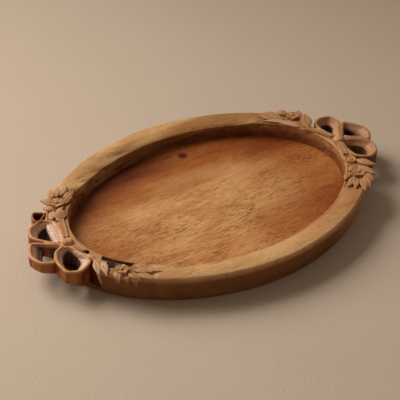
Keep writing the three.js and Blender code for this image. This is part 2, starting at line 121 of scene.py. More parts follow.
def add(tree, kind, *values, inputs=None, **settings):
    """Adds one node with its settings. Its inputs are values, sockets or nodes, in order or by name.

    A node stands for its first output, and a kind without Node in its name is one of the shader nodes.
    """
    node = tree.nodes.new(kind if "Node" in kind else "ShaderNode" + kind)
    for name, value in settings.items():
        setattr(node, name, value)
    for name, value in [*enumerate(values), *(inputs or {}).items()]:
        if isinstance(value, bpy.types.Node):
            value = value.outputs[0]
        if isinstance(value, bpy.types.NodeSocket):
            tree.links.new(value, node.inputs[name])
        else:
            node.inputs[name].default_value = value
    return node


def new_material(name):
    material = bpy.data.materials.new(name)
    material.use_nodes = True
    material.node_tree.nodes.clear()
    return material


# Matt painted board: almost no gloss, and a fine pebbled skin of paint about a millimetre and a half across,
# drawn that coarse so that it shows.
table_top = new_material("matt_painted_board")
tree = table_top.node_tree
place = add(tree, "TexCoord").outputs["Object"]
clouds = add(tree, "TexNoise", inputs={"Vector": place, "Scale": 9.0, "Detail": 3.0})
tone = add(tree, "Mix", data_type="RGBA", inputs={0: clouds, 6: linear("#CDB79F"), 7: linear("#D3BDA5")})
pebble_mm = 1.7
pebbles = add(tree, "TexNoise", inputs={"Vector": place, "Scale": 1000 / pebble_mm, "Detail": 2.0})
skin = add(tree, "Bump", inputs={"Height": pebbles, "Strength": 0.6, "Distance": 0.0008})
paint = add(tree, "BsdfPrincipled", inputs={
    "Base Color": tone.outputs[2], "Roughness": 0.85, "Normal": skin})
add(tree, "OutputMaterial", paint)

table_corners = ((-3, -3, 0), (3, -3, 0), (3, 3, 0), (-3, 3, 0))
table_mesh = bpy.data.meshes.new("table")
table_mesh.from_pydata(table_corners, [], [(0, 1, 2, 3)])
table_mesh.materials.append(table_top)
table = new_object("table", table_mesh)

# Floor boards: three planed boards of an open-pored hardwood, tongued together under the well and oiled.
# Their long grain runs from bow to bow. The middle of the floor is paler, and the back, the right-hand end
# and the front edge are redder. A small red pin knot lies near the back.


def pattern(tree, place, sizes, detail, distortion=0.0, roughness=0.5):
    """Cloudy noise with clouds of the given sizes along and across, in the unit of the place."""
    shares = [1 / size for size in (*sizes, sizes[-1])[:3]]
    scaled = add(tree, "VectorMath", place, shares, operation="MULTIPLY")
    return add(tree, "TexNoise", inputs={
        "Vector": scaled, "Scale": 1.0, "Detail": detail, "Distortion": distortion, "Roughness": roughness})


def zone(tree, place, axis, start, end):
    """A share that goes from 0 to 1 between two places along an axis, in millimetres, with a wavy edge."""
    waviness = 0.05
    split = add(tree, "SeparateXYZ", place)
    waver = pattern(tree, place, (1 / 7, 1 / 45), 2.0)
    shifted = add(tree, "Math", waver, waviness, split.outputs[axis], operation="MULTIPLY_ADD")
    return add(tree, "MapRange", interpolation_type="SMOOTHSTEP", inputs={
        "Value": shifted, "From Min": start / 1000 + waviness / 2, "From Max": end / 1000 + waviness / 2})


def hardwood(name, tones, pore_tone, grain_turn, pore_depth, roughness, pore_mm, pore_start=0.59,
             pore_strength=0.62, calm=None):
    """Oiled hardwood: broad tone bands, growth lines, small flecks and long open pores, along the grain.

    Returns the material, its tree, the colour socket, the principled shader and the Object coordinates, so
    that a piece can lay its own tones over it. The patterns are sized in millimetres. The pores are fainter
    past the two places that calm gives along Y.
    """
    contrast = 0.45
    material = new_material(name)
    tree = material.node_tree
    place = add(tree, "TexCoord").outputs["Object"]
    along = add(tree, "Mapping", inputs={
        "Vector": place, "Rotation": (0, 0, grain_turn), "Scale": (1000, 1000, 1000)})
    bands = pattern(tree, along, (110, 34), 5.0, distortion=0.9)
    lines = pattern(tree, along, (55, 1.9), 3.0, roughness=0.6)
    flecks = pattern(tree, along, (7, 2.2), 2.0, distortion=0.6)
    patches = pattern(tree, along, (38, 14), 2.0)
    pores = pattern(tree, along, pore_mm, 1.0, distortion=0.12)
    flecked = add(tree, "Math", flecks, contrast, -contrast / 2, operation="MULTIPLY_ADD")
    lined = add(tree, "Math", lines, contrast, flecked, operation="MULTIPLY_ADD")
    mixed = add(tree, "Math", lined, bands, operation="ADD")
    figure = add(tree, "MapRange", inputs={"Value": mixed, "From Min": 0.5, "From Max": 0.95})
    ramp = add(tree, "ValToRGB", figure)
    steps = ramp.color_ramp.elements
    steps.new(0.5)
    for step, tone_code in zip(steps, tones):
        step.color = linear(tone_code)
    pore_mask = add(tree, "MapRange", interpolation_type="SMOOTHSTEP", inputs={
        "Value": pores, "From Min": pore_start, "From Max": pore_start + 0.09})
    patch_mask = add(tree, "MapRange", inputs={
        "Value": patches, "From Min": 0.4, "From Max": 0.62, "To Min": 0.25, "To Max": 1.0})
    pore_share = add(tree, "Math", pore_mask, patch_mask, operation="MULTIPLY")
    if calm:
        fainter = add(tree, "MapRange", inputs={
            "Value": zone(tree, place, "Y", *calm), "To Min": 1.0, "To Max": 0.5})
        pore_share = add(tree, "Math", pore_share, fainter, operation="MULTIPLY")
    pore_factor = add(tree, "Math", pore_share, pore_strength, operation="MULTIPLY")
    coloured = add(tree, "Mix", data_type="RGBA", inputs={0: pore_factor, 6: ramp, 7: linear(pore_tone)})
    height = add(tree, "Math", pore_share, -1.0, lines, operation="MULTIPLY_ADD")
    bump = add(tree, "Bump", inputs={"Height": height, "Strength": 0.7, "Distance": pore_depth / 1000})
    gloss = add(tree, "Math", patches, 0.16, roughness - 0.08, operation="MULTIPLY_ADD")
    shader = add(tree, "BsdfPrincipled", inputs={
        "Base Color": coloured.outputs[2], "Roughness": gloss, "Normal": bump, "IOR": 1.47,
        "Specular IOR Level": 0.25})
    add(tree, "OutputMaterial", shader)
    return material, tree, coloured.outputs[2], shader, place


# Open-pored hardwood, planed and oiled: dark pore strokes about 7 mm long and half a millimetre wide, drawn a
# little coarser than the real ones so that they show.
floor_wood, tree, colour, shader, place = hardwood(
    "oiled_open_pored_hardwood_board", ("#B8763E", "#D99E61", "#E6B276"), "#7C340A", 0.0, 0.35, 0.52,
    (7.5, 0.85), pore_start=0.555, pore_strength=0.78, calm=(-8, 40))
# Along the back wall, from the middle to the left, the floor is darkened: a painted shadow of the well's back
# wall.
back_left = add(tree, "Math", zone(tree, place, "Y", 52, 88), zone(tree, place, "X", 40, -50),
                operation="MULTIPLY")
front_right = add(tree, "Math", zone(tree, place, "Y", -15, -60), zone(tree, place, "X", -30, 50),
                  operation="MULTIPLY")
for share, tint in (
    (zone(tree, place, "Y", 22, 62), "#C49B72"),
    (zone(tree, place, "Y", -58, -86), "#FAEBE2"),
    (zone(tree, place, "X", 45, 130), "#D4B18E"),
    (front_right, "#D7B597"),
    (zone(tree, place, "X", -60, -150), "#DABFA4"),
    (back_left, "#A98467"),
):
    colour = add(tree, "Mix", data_type="RGBA", blend_type="MULTIPLY", inputs={
        0: share, 6: colour, 7: linear(tint)}).outputs[2]
knot_place = (0.031, 0.092, 0.015)
knot_radius = 0.0082
knot_wander = 0.012
wander = add(tree, "TexNoise", inputs={"Vector": place, "Scale": 170.0, "Detail": 2.0})
wandering = add(tree, "VectorMath", wander.outputs["Color"], (knot_wander, knot_wander, 0), place,
                operation="MULTIPLY_ADD")
reach = add(tree, "VectorMath", wandering, knot_place, operation="DISTANCE")
knot_share = add(tree, "MapRange", interpolation_type="SMOOTHSTEP", inputs={
    "Value": reach.outputs["Value"], "From Min": knot_radius, "From Max": 0.25 * knot_radius,
    "To Max": 0.95})
knotted = add(tree, "Mix", data_type="RGBA", inputs={0: knot_share, 6: colour, 7: linear("#4A1206")})
tree.links.new(knotted.outputs[2], shader.inputs["Base Color"])

for board in ("floor_board_front", "floor_board_middle", "floor_board_back"):
    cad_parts[board].data.materials.clear()
    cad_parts[board].data.materials.append(floor_wood)

# Rim rails: the two plain arcs of the rim, front and back, sawn from thick hardwood, spokeshaved to a
# broad flat top with soft edges, and rubbed smooth with oil. Each meets the end blocks at a close joint.
rim_half_length = 188.0
rim_half_width = 136.0
rim_width_end = 25.0
rim_width_side = 27.0
rim_fullness = 1.91
well_fullness = 1.99
tray_height = 31.5
foot_inset_end = 6.5
foot_inset_side = 4.5
foot_round = 2.5
outer_edge_round = 3.0
inner_edge_round = 1.5
crown_fall = 2.6
crown_fade_turn = 9.0
floor_top = 15.0
well_draft = 2.8
rabbet_width = 6.0
joint_turn = 44.0


def oval(turn, half_length, half_width, fullness):
    """Points of an oval at turns in degrees, counted from the right-hand end."""
    cos = np.cos(np.radians(turn))
    sin = np.sin(np.radians(turn))
    power = 2 / fullness
    return np.stack([
        half_length * np.sign(cos) * np.abs(cos) ** power,
        half_width * np.sign(sin) * np.abs(sin) ** power,
    ], axis=-1)


def outer_edge(turn, inset=0.0):
    return oval(turn, rim_half_length - inset, rim_half_width - inset, rim_fullness)


def foot_edge(turn, inset=0.0):
    half_length = rim_half_length - foot_inset_end - inset
    return oval(turn, half_length, rim_half_width - foot_inset_side - inset, rim_fullness)


def well_edge(turn, outset=0.0):
    half_length = rim_half_length - rim_width_end + outset
    return oval(turn, half_length, rim_half_width - rim_width_side + outset, well_fullness)


def soften(mesh):
    """Smooth shading, but for edges sharper than 40 degrees."""
    mesh.shade_smooth()
    mesh.set_sharp_from_angle(angle=math.radians(40))


def evaluated_mesh(name, piece):
    """The mesh that an object's modifiers make, under a name of its own."""
    mesh = bpy.data.meshes.new_from_object(piece.evaluated_get(bpy.context.evaluated_depsgraph_get()))
    mesh.name = name
    return mesh


def rounded(radius, angles):
    """Steps over a rounded edge, at angles in degrees above level: how far in each lies, and how far down."""
    return [(radius * (1 - math.cos(a)), radius * (1 - math.sin(a))) for a in np.radians(angles)]


def well_rows(wall_steps):
    """From the rabbet up the well's wall and over its edge: how far out, how high, and the crown's share."""
    under = rabbet_width - well_draft
    rows = [(under, 0.0, 0.0), (under, floor_top, 0.0)]
    for share in np.linspace(0, 1, wall_steps):
        height = floor_top + share * (tray_height - inner_edge_round - floor_top)
        rows.append((-well_draft * (1 - share), height, share))
    for inset, fall in rounded(inner_edge_round, np.linspace(15, 90, 6)):
        rows.append((inset, tray_height - fall, 1.0))
    return rows


def rim_section():
    """The rim's section as a ring of points, from the rabbet up the well, over the top and down to the foot.

    Each point stands for one oval: how far the oval lies in from the rim's outer edge, at the end and at the
    side, its height, its fullness and its share of the crown's fall.
    """
    well = np.array((rim_width_end, rim_width_side))
    foot = np.array((foot_inset_end, foot_inset_side))
    rows = [(well - out, height, well_fullness, crown) for out, height, crown in well_rows(5)]
    inner = well - inner_edge_round
    for share in np.linspace(0, 1, 12)[1:-1]:
        inset = inner + (outer_edge_round - inner) * share
        fullness = well_fullness + (rim_fullness - well_fullness) * share
        rows.append((inset, tray_height, fullness, max(0, 1 - share / 0.75) ** 1.6))
    for inset, fall in rounded(outer_edge_round, np.linspace(90, 15, 7)):
        rows.append((np.full(2, inset), tray_height - fall, rim_fullness, 0.0))
    edge_height = tray_height - outer_edge_round
    for share in np.linspace(0, 1, 7):
        swell = 2.0 * share * (1 - share)
        height = edge_height + (foot_round - edge_height) * share
        rows.append((foot * share - swell, height, rim_fullness, 0.0))
    for inset, fall in rounded(foot_round, np.linspace(20, 90, 5)):
        rows.append((foot + inset, fall, rim_fullness, 0.0))
    return rows


def node_tree(name, inputs):
    """An empty Geometry Nodes tree with its named inputs, and the sockets that give them."""
    tree = bpy.data.node_groups.new(name, "GeometryNodeTree")
    tree.interface.new_socket("Geometry", in_out="OUTPUT", socket_type="NodeSocketGeometry")
    for socket_name, kind in {"Geometry": "Geometry", **inputs}.items():
        tree.interface.new_socket(socket_name, in_out="INPUT", socket_type="NodeSocket" + kind)
    return tree, add(tree, "NodeGroupInput").outputs


def end_tree(tree, geometry, wood):
    """Ends a tree: the geometry made real, with its wood set, goes out."""
    real = add(tree, "GeometryNodeRealizeInstances", geometry)
    wooden = add(tree, "GeometryNodeSetMaterial", inputs={"Geometry": real, "Material": wood})
    add(tree, "NodeGroupOutput", wooden)


def made_by_nodes(name, source, tree, values):
    """An object whose plain mesh a Geometry Nodes tree makes from a source mesh and from values by name."""
    piece = new_object(name, source)
    modifier = piece.modifiers.new("made", "NODES")
    modifier.node_group = tree
    for socket in tree.interface.items_tree:
        if socket.in_out == "INPUT" and socket.name in values:
            modifier[socket.identifier] = values[socket.name]
    mesh = evaluated_mesh(name, piece)
    piece.modifiers.remove(modifier)
    piece.data = mesh
    return piece


# The tree that sweeps the section round the rim. A grid has one row of points for each turn and one column
# for each point of the section, and every point is set on its own oval.
sweep, given = node_tree("rim_sweep", {
    "Half Length": "Float", "Half Width": "Float", "Start Turn": "Float", "End Turn": "Float",
    "Crown Fall": "Float", "Crown Fade Turn": "Float", "Steps": "Int", "Wood": "Material"})
ring_size = add(sweep, "GeometryNodeAttributeDomainSize", inputs={"Geometry": given["Geometry"]})
columns = add(sweep, "Math", ring_size.outputs["Point Count"], 1.0, operation="ADD")
grid = add(sweep, "GeometryNodeMeshGrid", inputs={"Vertices X": given["Steps"], "Vertices Y": columns})
number = add(sweep, "GeometryNodeInputIndex")
row_share = add(sweep, "Math", number, columns, operation="DIVIDE")
step = add(sweep, "Math", row_share, operation="FLOOR")
column = add(sweep, "Math", number, columns, operation="MODULO")
ring_place = add(sweep, "Math", column, ring_size.outputs["Point Count"], operation="MODULO")
sources = {"place": add(sweep, "GeometryNodeInputPosition")}
for attribute_name in ("fullness", "crown"):
    sources[attribute_name] = add(sweep, "GeometryNodeInputNamedAttribute", attribute_name)
sampled = {}
for sample_name, source in sources.items():
    kind = "FLOAT_VECTOR" if sample_name == "place" else "FLOAT"
    sampled[sample_name] = add(sweep, "GeometryNodeSampleIndex", data_type=kind, inputs={
        "Geometry": given["Geometry"], "Value": source, "Index": ring_place})
section_place = add(sweep, "SeparateXYZ", sampled["place"])
arc = add(sweep, "Math", given["End Turn"], given["Start Turn"], operation="SUBTRACT")
last_step = add(sweep, "Math", given["Steps"], 1.0, operation="SUBTRACT")
step_turn = add(sweep, "Math", arc, last_step, operation="DIVIDE")
turn = add(sweep, "Math", step, step_turn, given["Start Turn"], operation="MULTIPLY_ADD")
after_start = add(sweep, "Math", turn, given["Start Turn"], operation="SUBTRACT")
before_end = add(sweep, "Math", given["End Turn"], turn, operation="SUBTRACT")
from_joint = add(sweep, "Math", after_start, before_end, operation="MINIMUM")
faded = add(sweep, "MapRange", interpolation_type="SMOOTHSTEP", inputs={
    "Value": from_joint, "From Max": given["Crown Fade Turn"]})
crown = add(sweep, "Math", faded, sampled["crown"], operation="MULTIPLY")
fall = add(sweep, "Math", crown, given["Crown Fall"], operation="MULTIPLY")
height = add(sweep, "Math", section_place.outputs["Z"], fall, operation="SUBTRACT")
angle = add(sweep, "Math", turn, operation="RADIANS")
power = add(sweep, "Math", 2.0, sampled["fullness"], operation="DIVIDE")
plan = {}
for axis, wave, half_size in (("X", "COSINE", "Half Length"), ("Y", "SINE", "Half Width")):
    reach = add(sweep, "Math", given[half_size], section_place.outputs[axis], operation="SUBTRACT")
    swing = add(sweep, "Math", angle, operation=wave)
    way = add(sweep, "Math", swing, operation="SIGN")
    size = add(sweep, "Math", swing, operation="ABSOLUTE")
    fuller = add(sweep, "Math", size, power, operation="POWER")
    signed = add(sweep, "Math", fuller, way, operation="MULTIPLY")
    plan[axis] = add(sweep, "Math", signed, reach, operation="MULTIPLY")
on_oval = add(sweep, "CombineXYZ", inputs={**plan, "Z": height})
swept = add(sweep, "GeometryNodeSetPosition", inputs={
    "Geometry": grid.outputs["Mesh"], "Position": on_oval})
closed = add(sweep, "GeometryNodeMergeByDistance", inputs={"Geometry": swept, "Distance": 0.000001})
end_tree(sweep, closed, given["Wood"])


def outward_faces(mesh):
    """Closes any open end of a mesh and turns the faces of each closed skin outwards."""
    shell = bmesh.new()
    shell.from_mesh(mesh)
    bmesh.ops.holes_fill(shell, edges=[edge for edge in shell.edges if edge.is_boundary], sides=0)
    bmesh.ops.recalc_face_normals(shell, faces=shell.faces)
    shell.to_mesh(mesh)
    shell.free()


def turn_of(plan):
    """The turn round the rim, in degrees from the middle of an end, at which plan points lie."""
    power = rim_fullness / 2
    x, y = np.abs(plan[:, 0]) / rim_half_length, np.abs(plan[:, 1]) / rim_half_width
    return np.degrees(np.arctan2(y ** power, x ** power))


def points_of(mesh):
    """The points of a mesh, in millimetres."""
    places = np.empty(len(mesh.vertices) * 3, dtype=np.float32)
    mesh.vertices.foreach_get("co", places)
    return places.reshape(-1, 3) * 1000


def lay_tones(tree, colour, shader, layers):
    """Lays tones over a wood, each where the piece's own attribute says.

    A layer is an attribute, a blend, a tone, a strength and, where the tone comes in patches, the patches'
    size in millimetres and how much of the tone is left between them.
    """
    place = add(tree, "TexCoord").outputs["Object"]
    for attribute_name, blend, tone_code, strength, *patchy in layers:
        share = add(tree, "Attribute", attribute_name=attribute_name).outputs["Fac"]
        factor = add(tree, "Math", share, strength, operation="MULTIPLY")
        for sizes, least in patchy:
            clouds = pattern(tree, place, [size / 1000 for size in sizes], 4.0, distortion=0.5)
            cloudy = add(tree, "MapRange", inputs={
                "Value": clouds, "From Min": 0.38, "From Max": 0.6, "To Min": least})
            factor = add(tree, "Math", factor, cloudy, operation="MULTIPLY")
        colour = add(tree, "Mix", data_type="RGBA", blend_type=blend, inputs={
            0: factor, 6: colour, 7: linear(tone_code)}).outputs[2]
    tree.links.new(colour, shader.inputs["Base Color"])


def note(mesh, shares):
    """Keeps named numbers for each point of a mesh, for its material or its node tree to read."""
    for name, values in shares.items():
        attribute = mesh.attributes.new(name, "FLOAT", "POINT")
        attribute.data.foreach_set("value", np.asarray(values, dtype=np.float32))


def rim_tones(points):
    """How much of each of the rim's tones, its painted shade among them, lies at each point."""
    x, y, z = points.T
    turns = turn_of(points[:, :2])
    inner, outer = well_edge(turns), outer_edge(turns)
    across = np.linalg.norm(np.abs(points[:, :2]) - inner, axis=1) / np.linalg.norm(outer - inner, axis=1)

    # Painted shade on the outer wall, fading out over its rounded top edge and towards the right end.
    turned = np.linalg.norm(points[:, :2] / (rim_half_length, rim_half_width), axis=1)
    painted_wall_shade = np.clip((tray_height - 1.4 - z) / 5, 0, 1) * (1 - np.clip((x - 60) / 90, 0, 1))

    # Painted shade low on the well's wall, strongest at the two ends of the tray and weaker between them.
    half_size = (rim_half_length - rim_width_end, rim_half_width - rim_width_side)
    in_well = np.linalg.norm(points[:, :2] / half_size, axis=1) < 1.03
    well_shade_strength = np.interp(x, (-150, -90, -40, 20, 90), (1.0, 0.7, 0.72, 0.84, 1.0))
    well = np.where(in_well, np.clip((tray_height - 1.0 - z) / 9, 0, 1) * well_shade_strength, 0)

    # A browner band along the well on the back of the rim, which widens to the right.
    reach = np.interp(x, (-70, -31, 5, 40, 95), (-0.1, 0.05, 0.15, 0.55, 1.15))
    near_joint = np.clip((turns - joint_turn + 10) / 10, 0, 1)
    shade = np.clip((reach - across) / 0.3 + 0.5, 0, 1) * (y > 0) * near_joint

    # The inner half of the rim at the back left, and the well's wall, where the wood is streaky.
    inner_half = np.clip((0.6 - across) / 0.25, 0, 1)
    back_left = np.clip((5 - x) / 50, 0, 1) * np.clip((y - 30) / 20, 0, 1)
    return {
        "painted_wall_shade": np.where(turned > 0.93, painted_wall_shade, 0),
        "well": well,
        "shade": shade,
        "streaks": np.maximum(inner_half * back_left, 0.7 * (well > 0.05)),
        # The front of the rim to the right of the middle, where the wood is redder.
        "front": np.clip((x + 60) / 120, 0, 1) * (y < 0),
    }


# Spokeshaved and oiled hardwood: closer grain than the floor, fine short pores, and a satin rub on top. The
# walls below it are painted darker and redder: painted shade.
rim_wood, tree, colour, shader, place = hardwood(
    "rubbed_oiled_hardwood_rim", ("#BE8956", "#D3A169", "#E1B47E"), "#80512B", 0.0, 0.15, 0.46, (7.0, 0.7))
rim_shade_and_tones = [
    ("painted_wall_shade", "MULTIPLY", "#A88E78", 1.0),
    ("well", "MULTIPLY", "#AE886B", 1.0),
    ("shade", "MULTIPLY", "#D6C5AC", 1.0),
    ("front", "MULTIPLY", "#F0E1D8", 1.0),
    ("streaks", "MULTIPLY", "#A5825F", 0.8, ((45, 6, 4), 0.0)),
]
lay_tones(tree, colour, shader, rim_shade_and_tones)

section = rim_section()
section_mesh = bpy.data.meshes.new("rim_section")
section_mesh.from_pydata(
    [(inset[0] / 1000, inset[1] / 1000, height / 1000) for inset, height, _, _ in section],
    [(i, (i + 1) % len(section)) for i in range(len(section))], [])
note(section_mesh, {"fullness": [row[2] for row in section], "crown": [row[3] for row in section]})
for rail, middle in (("rim_front_rail", 270.0), ("rim_back_rail", 90.0)):
    piece = made_by_nodes(rail + "_shaped", section_mesh, sweep, {
        "Half Length": rim_half_length / 1000,
        "Half Width": rim_half_width / 1000,
        "Start Turn": middle - 90 + joint_turn,
        "End Turn": middle + 90 - joint_turn,
        "Crown Fall": crown_fall / 1000,
        "Crown Fade Turn": crown_fade_turn,
        "Steps": 200,
        "Wood": rim_wood,
    })
    outward_faces(piece.data)
    soften(piece.data)
    note(piece.data, rim_tones(points_of(piece.data)))
    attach(piece, "root")
    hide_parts(rail)

# End blocks: the two ends of the rim, glued between the rails. Their tops are carved with the ribbon's
# tails, its folds, a flower and pointed leaves on each side, with the ground cut back around them, and each
# block holds its bow in a seat on the outer side.
end_wall = 7.5
seat_turn = 22.5
ledge_height = 5.0
under_cut_length = 47.0
under_cut_rise = 14.0
wall_place = rim_half_length - rim_width_end + end_wall
end_wall_across = end_wall / rim_width_end


def placed(plan, height):
    """Plan points with a height, which may be one number or one for each point."""
    height = np.broadcast_to(height, plan.shape[:-1])
    return np.concatenate([plan, height[..., None]], axis=-1)


def mesh_object(name, points, faces, material):
    """A softly shaded mesh object from points in millimetres."""
    mesh = bpy.data.meshes.new(name)
    mesh.from_pydata((np.asarray(points) / 1000).tolist(), [], faces)
    mesh.materials.append(material)
    soften(mesh)
    return new_object(name, mesh)


def closed_skin(rings, looped=False):
    """Points and faces of a skin over rings of points. Its ends are filled, or they meet if it is looped."""
    rings = np.asarray(rings)
    count, around = rings.shape[:2]
    faces = []
    for i in range(count if looped else count - 1):
        this_ring, next_ring = i * around, (i + 1) % count * around
        for j in range(around):
            k = (j + 1) % around
            faces.append((this_ring + j, this_ring + k, next_ring + k, next_ring + j))
    if not looped:
        faces += [tuple(range(around - 1, -1, -1)), tuple(range((count - 1) * around, count * around))]
    return rings.reshape(-1, 3), faces


def joined(shapes):
    """The points and faces of several shapes as those of one."""
    faces, count = [], 0
    for points, shape_faces in shapes:
        faces += [tuple(i + count for i in face) for face in shape_faces]
        count += len(points)
    return np.concatenate([points for points, _ in shapes]), faces


def under_bow(x):
    """Height of the bow's underside, which rises from the end wall out to the tips."""
    share = np.clip((np.abs(x) - wall_place) / under_cut_length, 0, 1)
    return ledge_height + under_cut_rise * np.sin(share * np.pi / 2)


def along_polyline(corners, count):
    """Points at even distances along straight lines through corners, for many sections at once."""
    corners = np.stack(corners, axis=1)
    steps = np.linalg.norm(np.diff(corners, axis=1), axis=2)
    reached = np.concatenate([np.zeros((len(steps), 1)), np.cumsum(steps, axis=1)], axis=1)
    rows = []
    for lengths, places in zip(reached, corners):
        wanted = np.linspace(0, lengths[-1], count)
        rows.append(np.stack([np.interp(wanted, lengths, places[:, axis]) for axis in range(3)], axis=1))
    return np.stack(rows)


def block_section(turns, seated):
    """The end block's section at each turn. Where the bow is seated, only the end wall stands full height."""
    across_points = 46
    side_points = 30
    head = [placed(well_edge(turns, out), height) for out, height, _ in well_rows(6)]
    inner = well_edge(turns, inner_edge_round)
    if seated:
        outer = well_edge(turns) + (outer_edge(turns) - well_edge(turns)) * end_wall_across
        lip_height = under_bow(outer_edge(turns)[:, 0] - 4)
        climbed = (lip_height - foot_round) / (tray_height - foot_round)
        lip = foot_edge(turns) + (outer_edge(turns) - foot_edge(turns)) * climbed[:, None]
        corners = [placed(outer, under_bow(outer[:, 0])), placed(lip, lip_height)]
    else:
        outer = outer_edge(turns, outer_edge_round)
        corners = [placed(outer_edge(turns, inset), tray_height - fall)
                   for inset, fall in rounded(outer_edge_round, (72, 54, 36, 18, 0))]
    for share in np.linspace(0, 1, across_points)[1:]:
        head.append(placed(inner + (outer - inner) * share, tray_height))
    corners = [head[-1], *corners, placed(foot_edge(turns), foot_round)]
    side = along_polyline(corners, side_points)
    foot = [placed(foot_edge(turns, inset), fall)
            for inset, fall in rounded(foot_round, np.linspace(20, 90, 5))]
    return np.concatenate([np.stack(head, axis=1), side[:, 1:], np.stack(foot, axis=1)], axis=1)


def leaf(base, tip, width, lift=1.2, rise=1.6, tip_rise=1.6, widest=0.42, blunt=0.12, groove=0.5,
         bend=0.0, cup=0.0, roll=0.0):
    """One carved leaf, petal or fold: a closed skin with a crown and a groove down its middle."""
    base = np.array((*base, rise))
    tip = np.array((*tip, tip_rise))
    run = tip - base
    length = np.linalg.norm(run[:2])
    side = np.array((-run[1], run[0], 0)) / length
    power = math.log(0.5) / math.log(widest)
    depth = 3.0
    rings = []
    for share in np.linspace(0, 1, 15):
        bulge = math.sin(math.pi * share)
        middle = base + run * share + side * bend * length * bulge + np.array((0, 0, lift * bulge))
        half = width / 2 * max(blunt, math.sin(math.pi * share ** power) ** 0.85)
        top = []
        for place in np.linspace(-1, 1, 11):
            height = -0.55 * lift * place ** 2 + cup * place ** 2 + roll * place * half
            height -= groove * math.exp(-((place * half) / 0.6) ** 2) * bulge
            veins = math.cos(2 * math.pi * (share * 5 - abs(place) * 1.3))
            height += 0.12 * veins * abs(place) * min(1, half / 3)
            top.append(middle + side * half * place + np.array((0, 0, height)))
        under = [middle + side * half * place * 0.8 - np.array((0, 0, depth)) for place in (1, 0, -1)]
        rings.append(top + under)
    return closed_skin(rings)


def hanging_tip(turn, width, bottom, proud):
    """The tip of a leaf that hangs over the outer edge and lies against the wall below it."""
    rings = []
    wall_top, wall_foot = outer_edge(turn), foot_edge(turn)
    along = outer_edge(turn + 0.5) - outer_edge(turn - 0.5)
    along /= np.linalg.norm(along)
    out = np.array((along[1], -along[0]))
    for share in np.linspace(0, 1, 14):
        height = tray_height - 1.0 + (bottom - tray_height + 1.0) * share
        climbed = np.clip((height - foot_round) / (tray_height - outer_edge_round - foot_round), 0, 1)
        middle = wall_foot + (wall_top - wall_foot) * climbed
        half = width / 2 * max(0.08, math.cos(share * math.pi / 2) ** 0.7)
        stand = proud * (0.25 + 0.75 * math.cos(share * math.pi / 2))
        ring = [middle + along * half * place + out * stand * (1 - 0.7 * place ** 2)
                for place in np.linspace(-1, 1, 7)]
        ring += [middle + along * half * place * 0.9 - out * 2.0 for place in (1, 0, -1)]
        rings.append(placed(np.array(ring), height - tray_height))
    return closed_skin(rings)


def ring_points(middle, size, height, steps=24):
    """Points round a circle or an ellipse of a size at a height."""
    turns = np.linspace(0, 2 * math.pi, steps, endpoint=False)
    around = np.stack([np.cos(turns), np.sin(turns)], axis=1)
    return placed(np.array(middle) + around * np.array(size) / 2, height)


def flower(middle, radius):
    """A small open flower: five cupped petals round a boss."""
    rise = 1.4
    parts = []
    for i in range(5):
        angle = 0.3 + 2 * math.pi * i / 5
        reach = np.array((math.cos(angle), math.sin(angle))) * radius
        parts.append(leaf(middle + 0.12 * reach, middle + reach, radius * 1.05, lift=0.5, rise=rise,
                          tip_rise=rise + 0.9, widest=0.62, blunt=0.3, groove=0.45, cup=0.9))
    boss = 0.54 * radius
    rings = [ring_points(middle, boss, -1.0, 12)]
    for angle in np.linspace(0, math.pi / 2 * 0.96, 7):
        height = rise + 0.9 + radius * 0.2 * math.sin(angle)
        rings.append(ring_points(middle, boss * math.cos(angle), height, 12))
    return [*parts, closed_skin(rings)]


def scroll(middle, radius):
    """The rolled end of a ribbon: a round button with a raised rim and a coil in the middle."""
    rings = []
    for share, height in ((1, -1.5), (1, 1.2), (0.93, 2.0), (0.8, 2.2), (0.66, 1.5), (0.5, 1.3), (0.42, 1.9),
                          (0.28, 2.3), (0.12, 1.9), (0.02, 1.5)):
        shift = 0.05 * radius * (1 - share)
        rings.append(ring_points((middle[0] + shift, middle[1]), 2 * radius * share, height, 28))
    return closed_skin(rings)


def smooth_path(places, count):
    """Points at even steps of a smooth curve through places."""
    places = np.array(places, dtype=float)
    padded = np.concatenate([places[:1], places, places[-1:]])
    spans = len(places) - 1
    shares = np.linspace(0, spans, count)
    span = np.minimum(shares.astype(int), spans - 1)
    t = (shares - span)[:, None]
    before, start, end, after = (padded[span + i] for i in range(4))
    return 0.5 * (2 * start + (end - before) * t + (2 * before - 5 * start + 4 * end - after) * t ** 2
                  + (3 * start - before - 3 * end + after) * t ** 3)


def path_and_side(places, count):
    """A smooth path through places, and the way to its left at each of its points."""
    path = smooth_path(places, count)
    run = np.gradient(path, axis=0)
    run /= np.linalg.norm(run, axis=1)[:, None]
    return path, np.stack([-run[:, 1], run[:, 0]], axis=1)


def ribbon_strip(places, widths):
    """A flat ribbon along a path of plan points, barely hollow between two soft edges."""
    path, side = path_and_side(places, 40)
    half = np.interp(np.linspace(0, 1, len(path)), np.linspace(0, 1, len(widths)), widths) / 2
    edge = [(1, -2.5), (1, 1.4), (0.88, 1.8), (0.72, 1.7), (0.5, 1.55)]
    profile = [(-place, height) for place, height in edge] + [(0, 1.4)] + edge[::-1]
    rows = [placed(path + side * (half * place)[:, None], height) for place, height in profile]
    return closed_skin(np.stack(rows, axis=1))


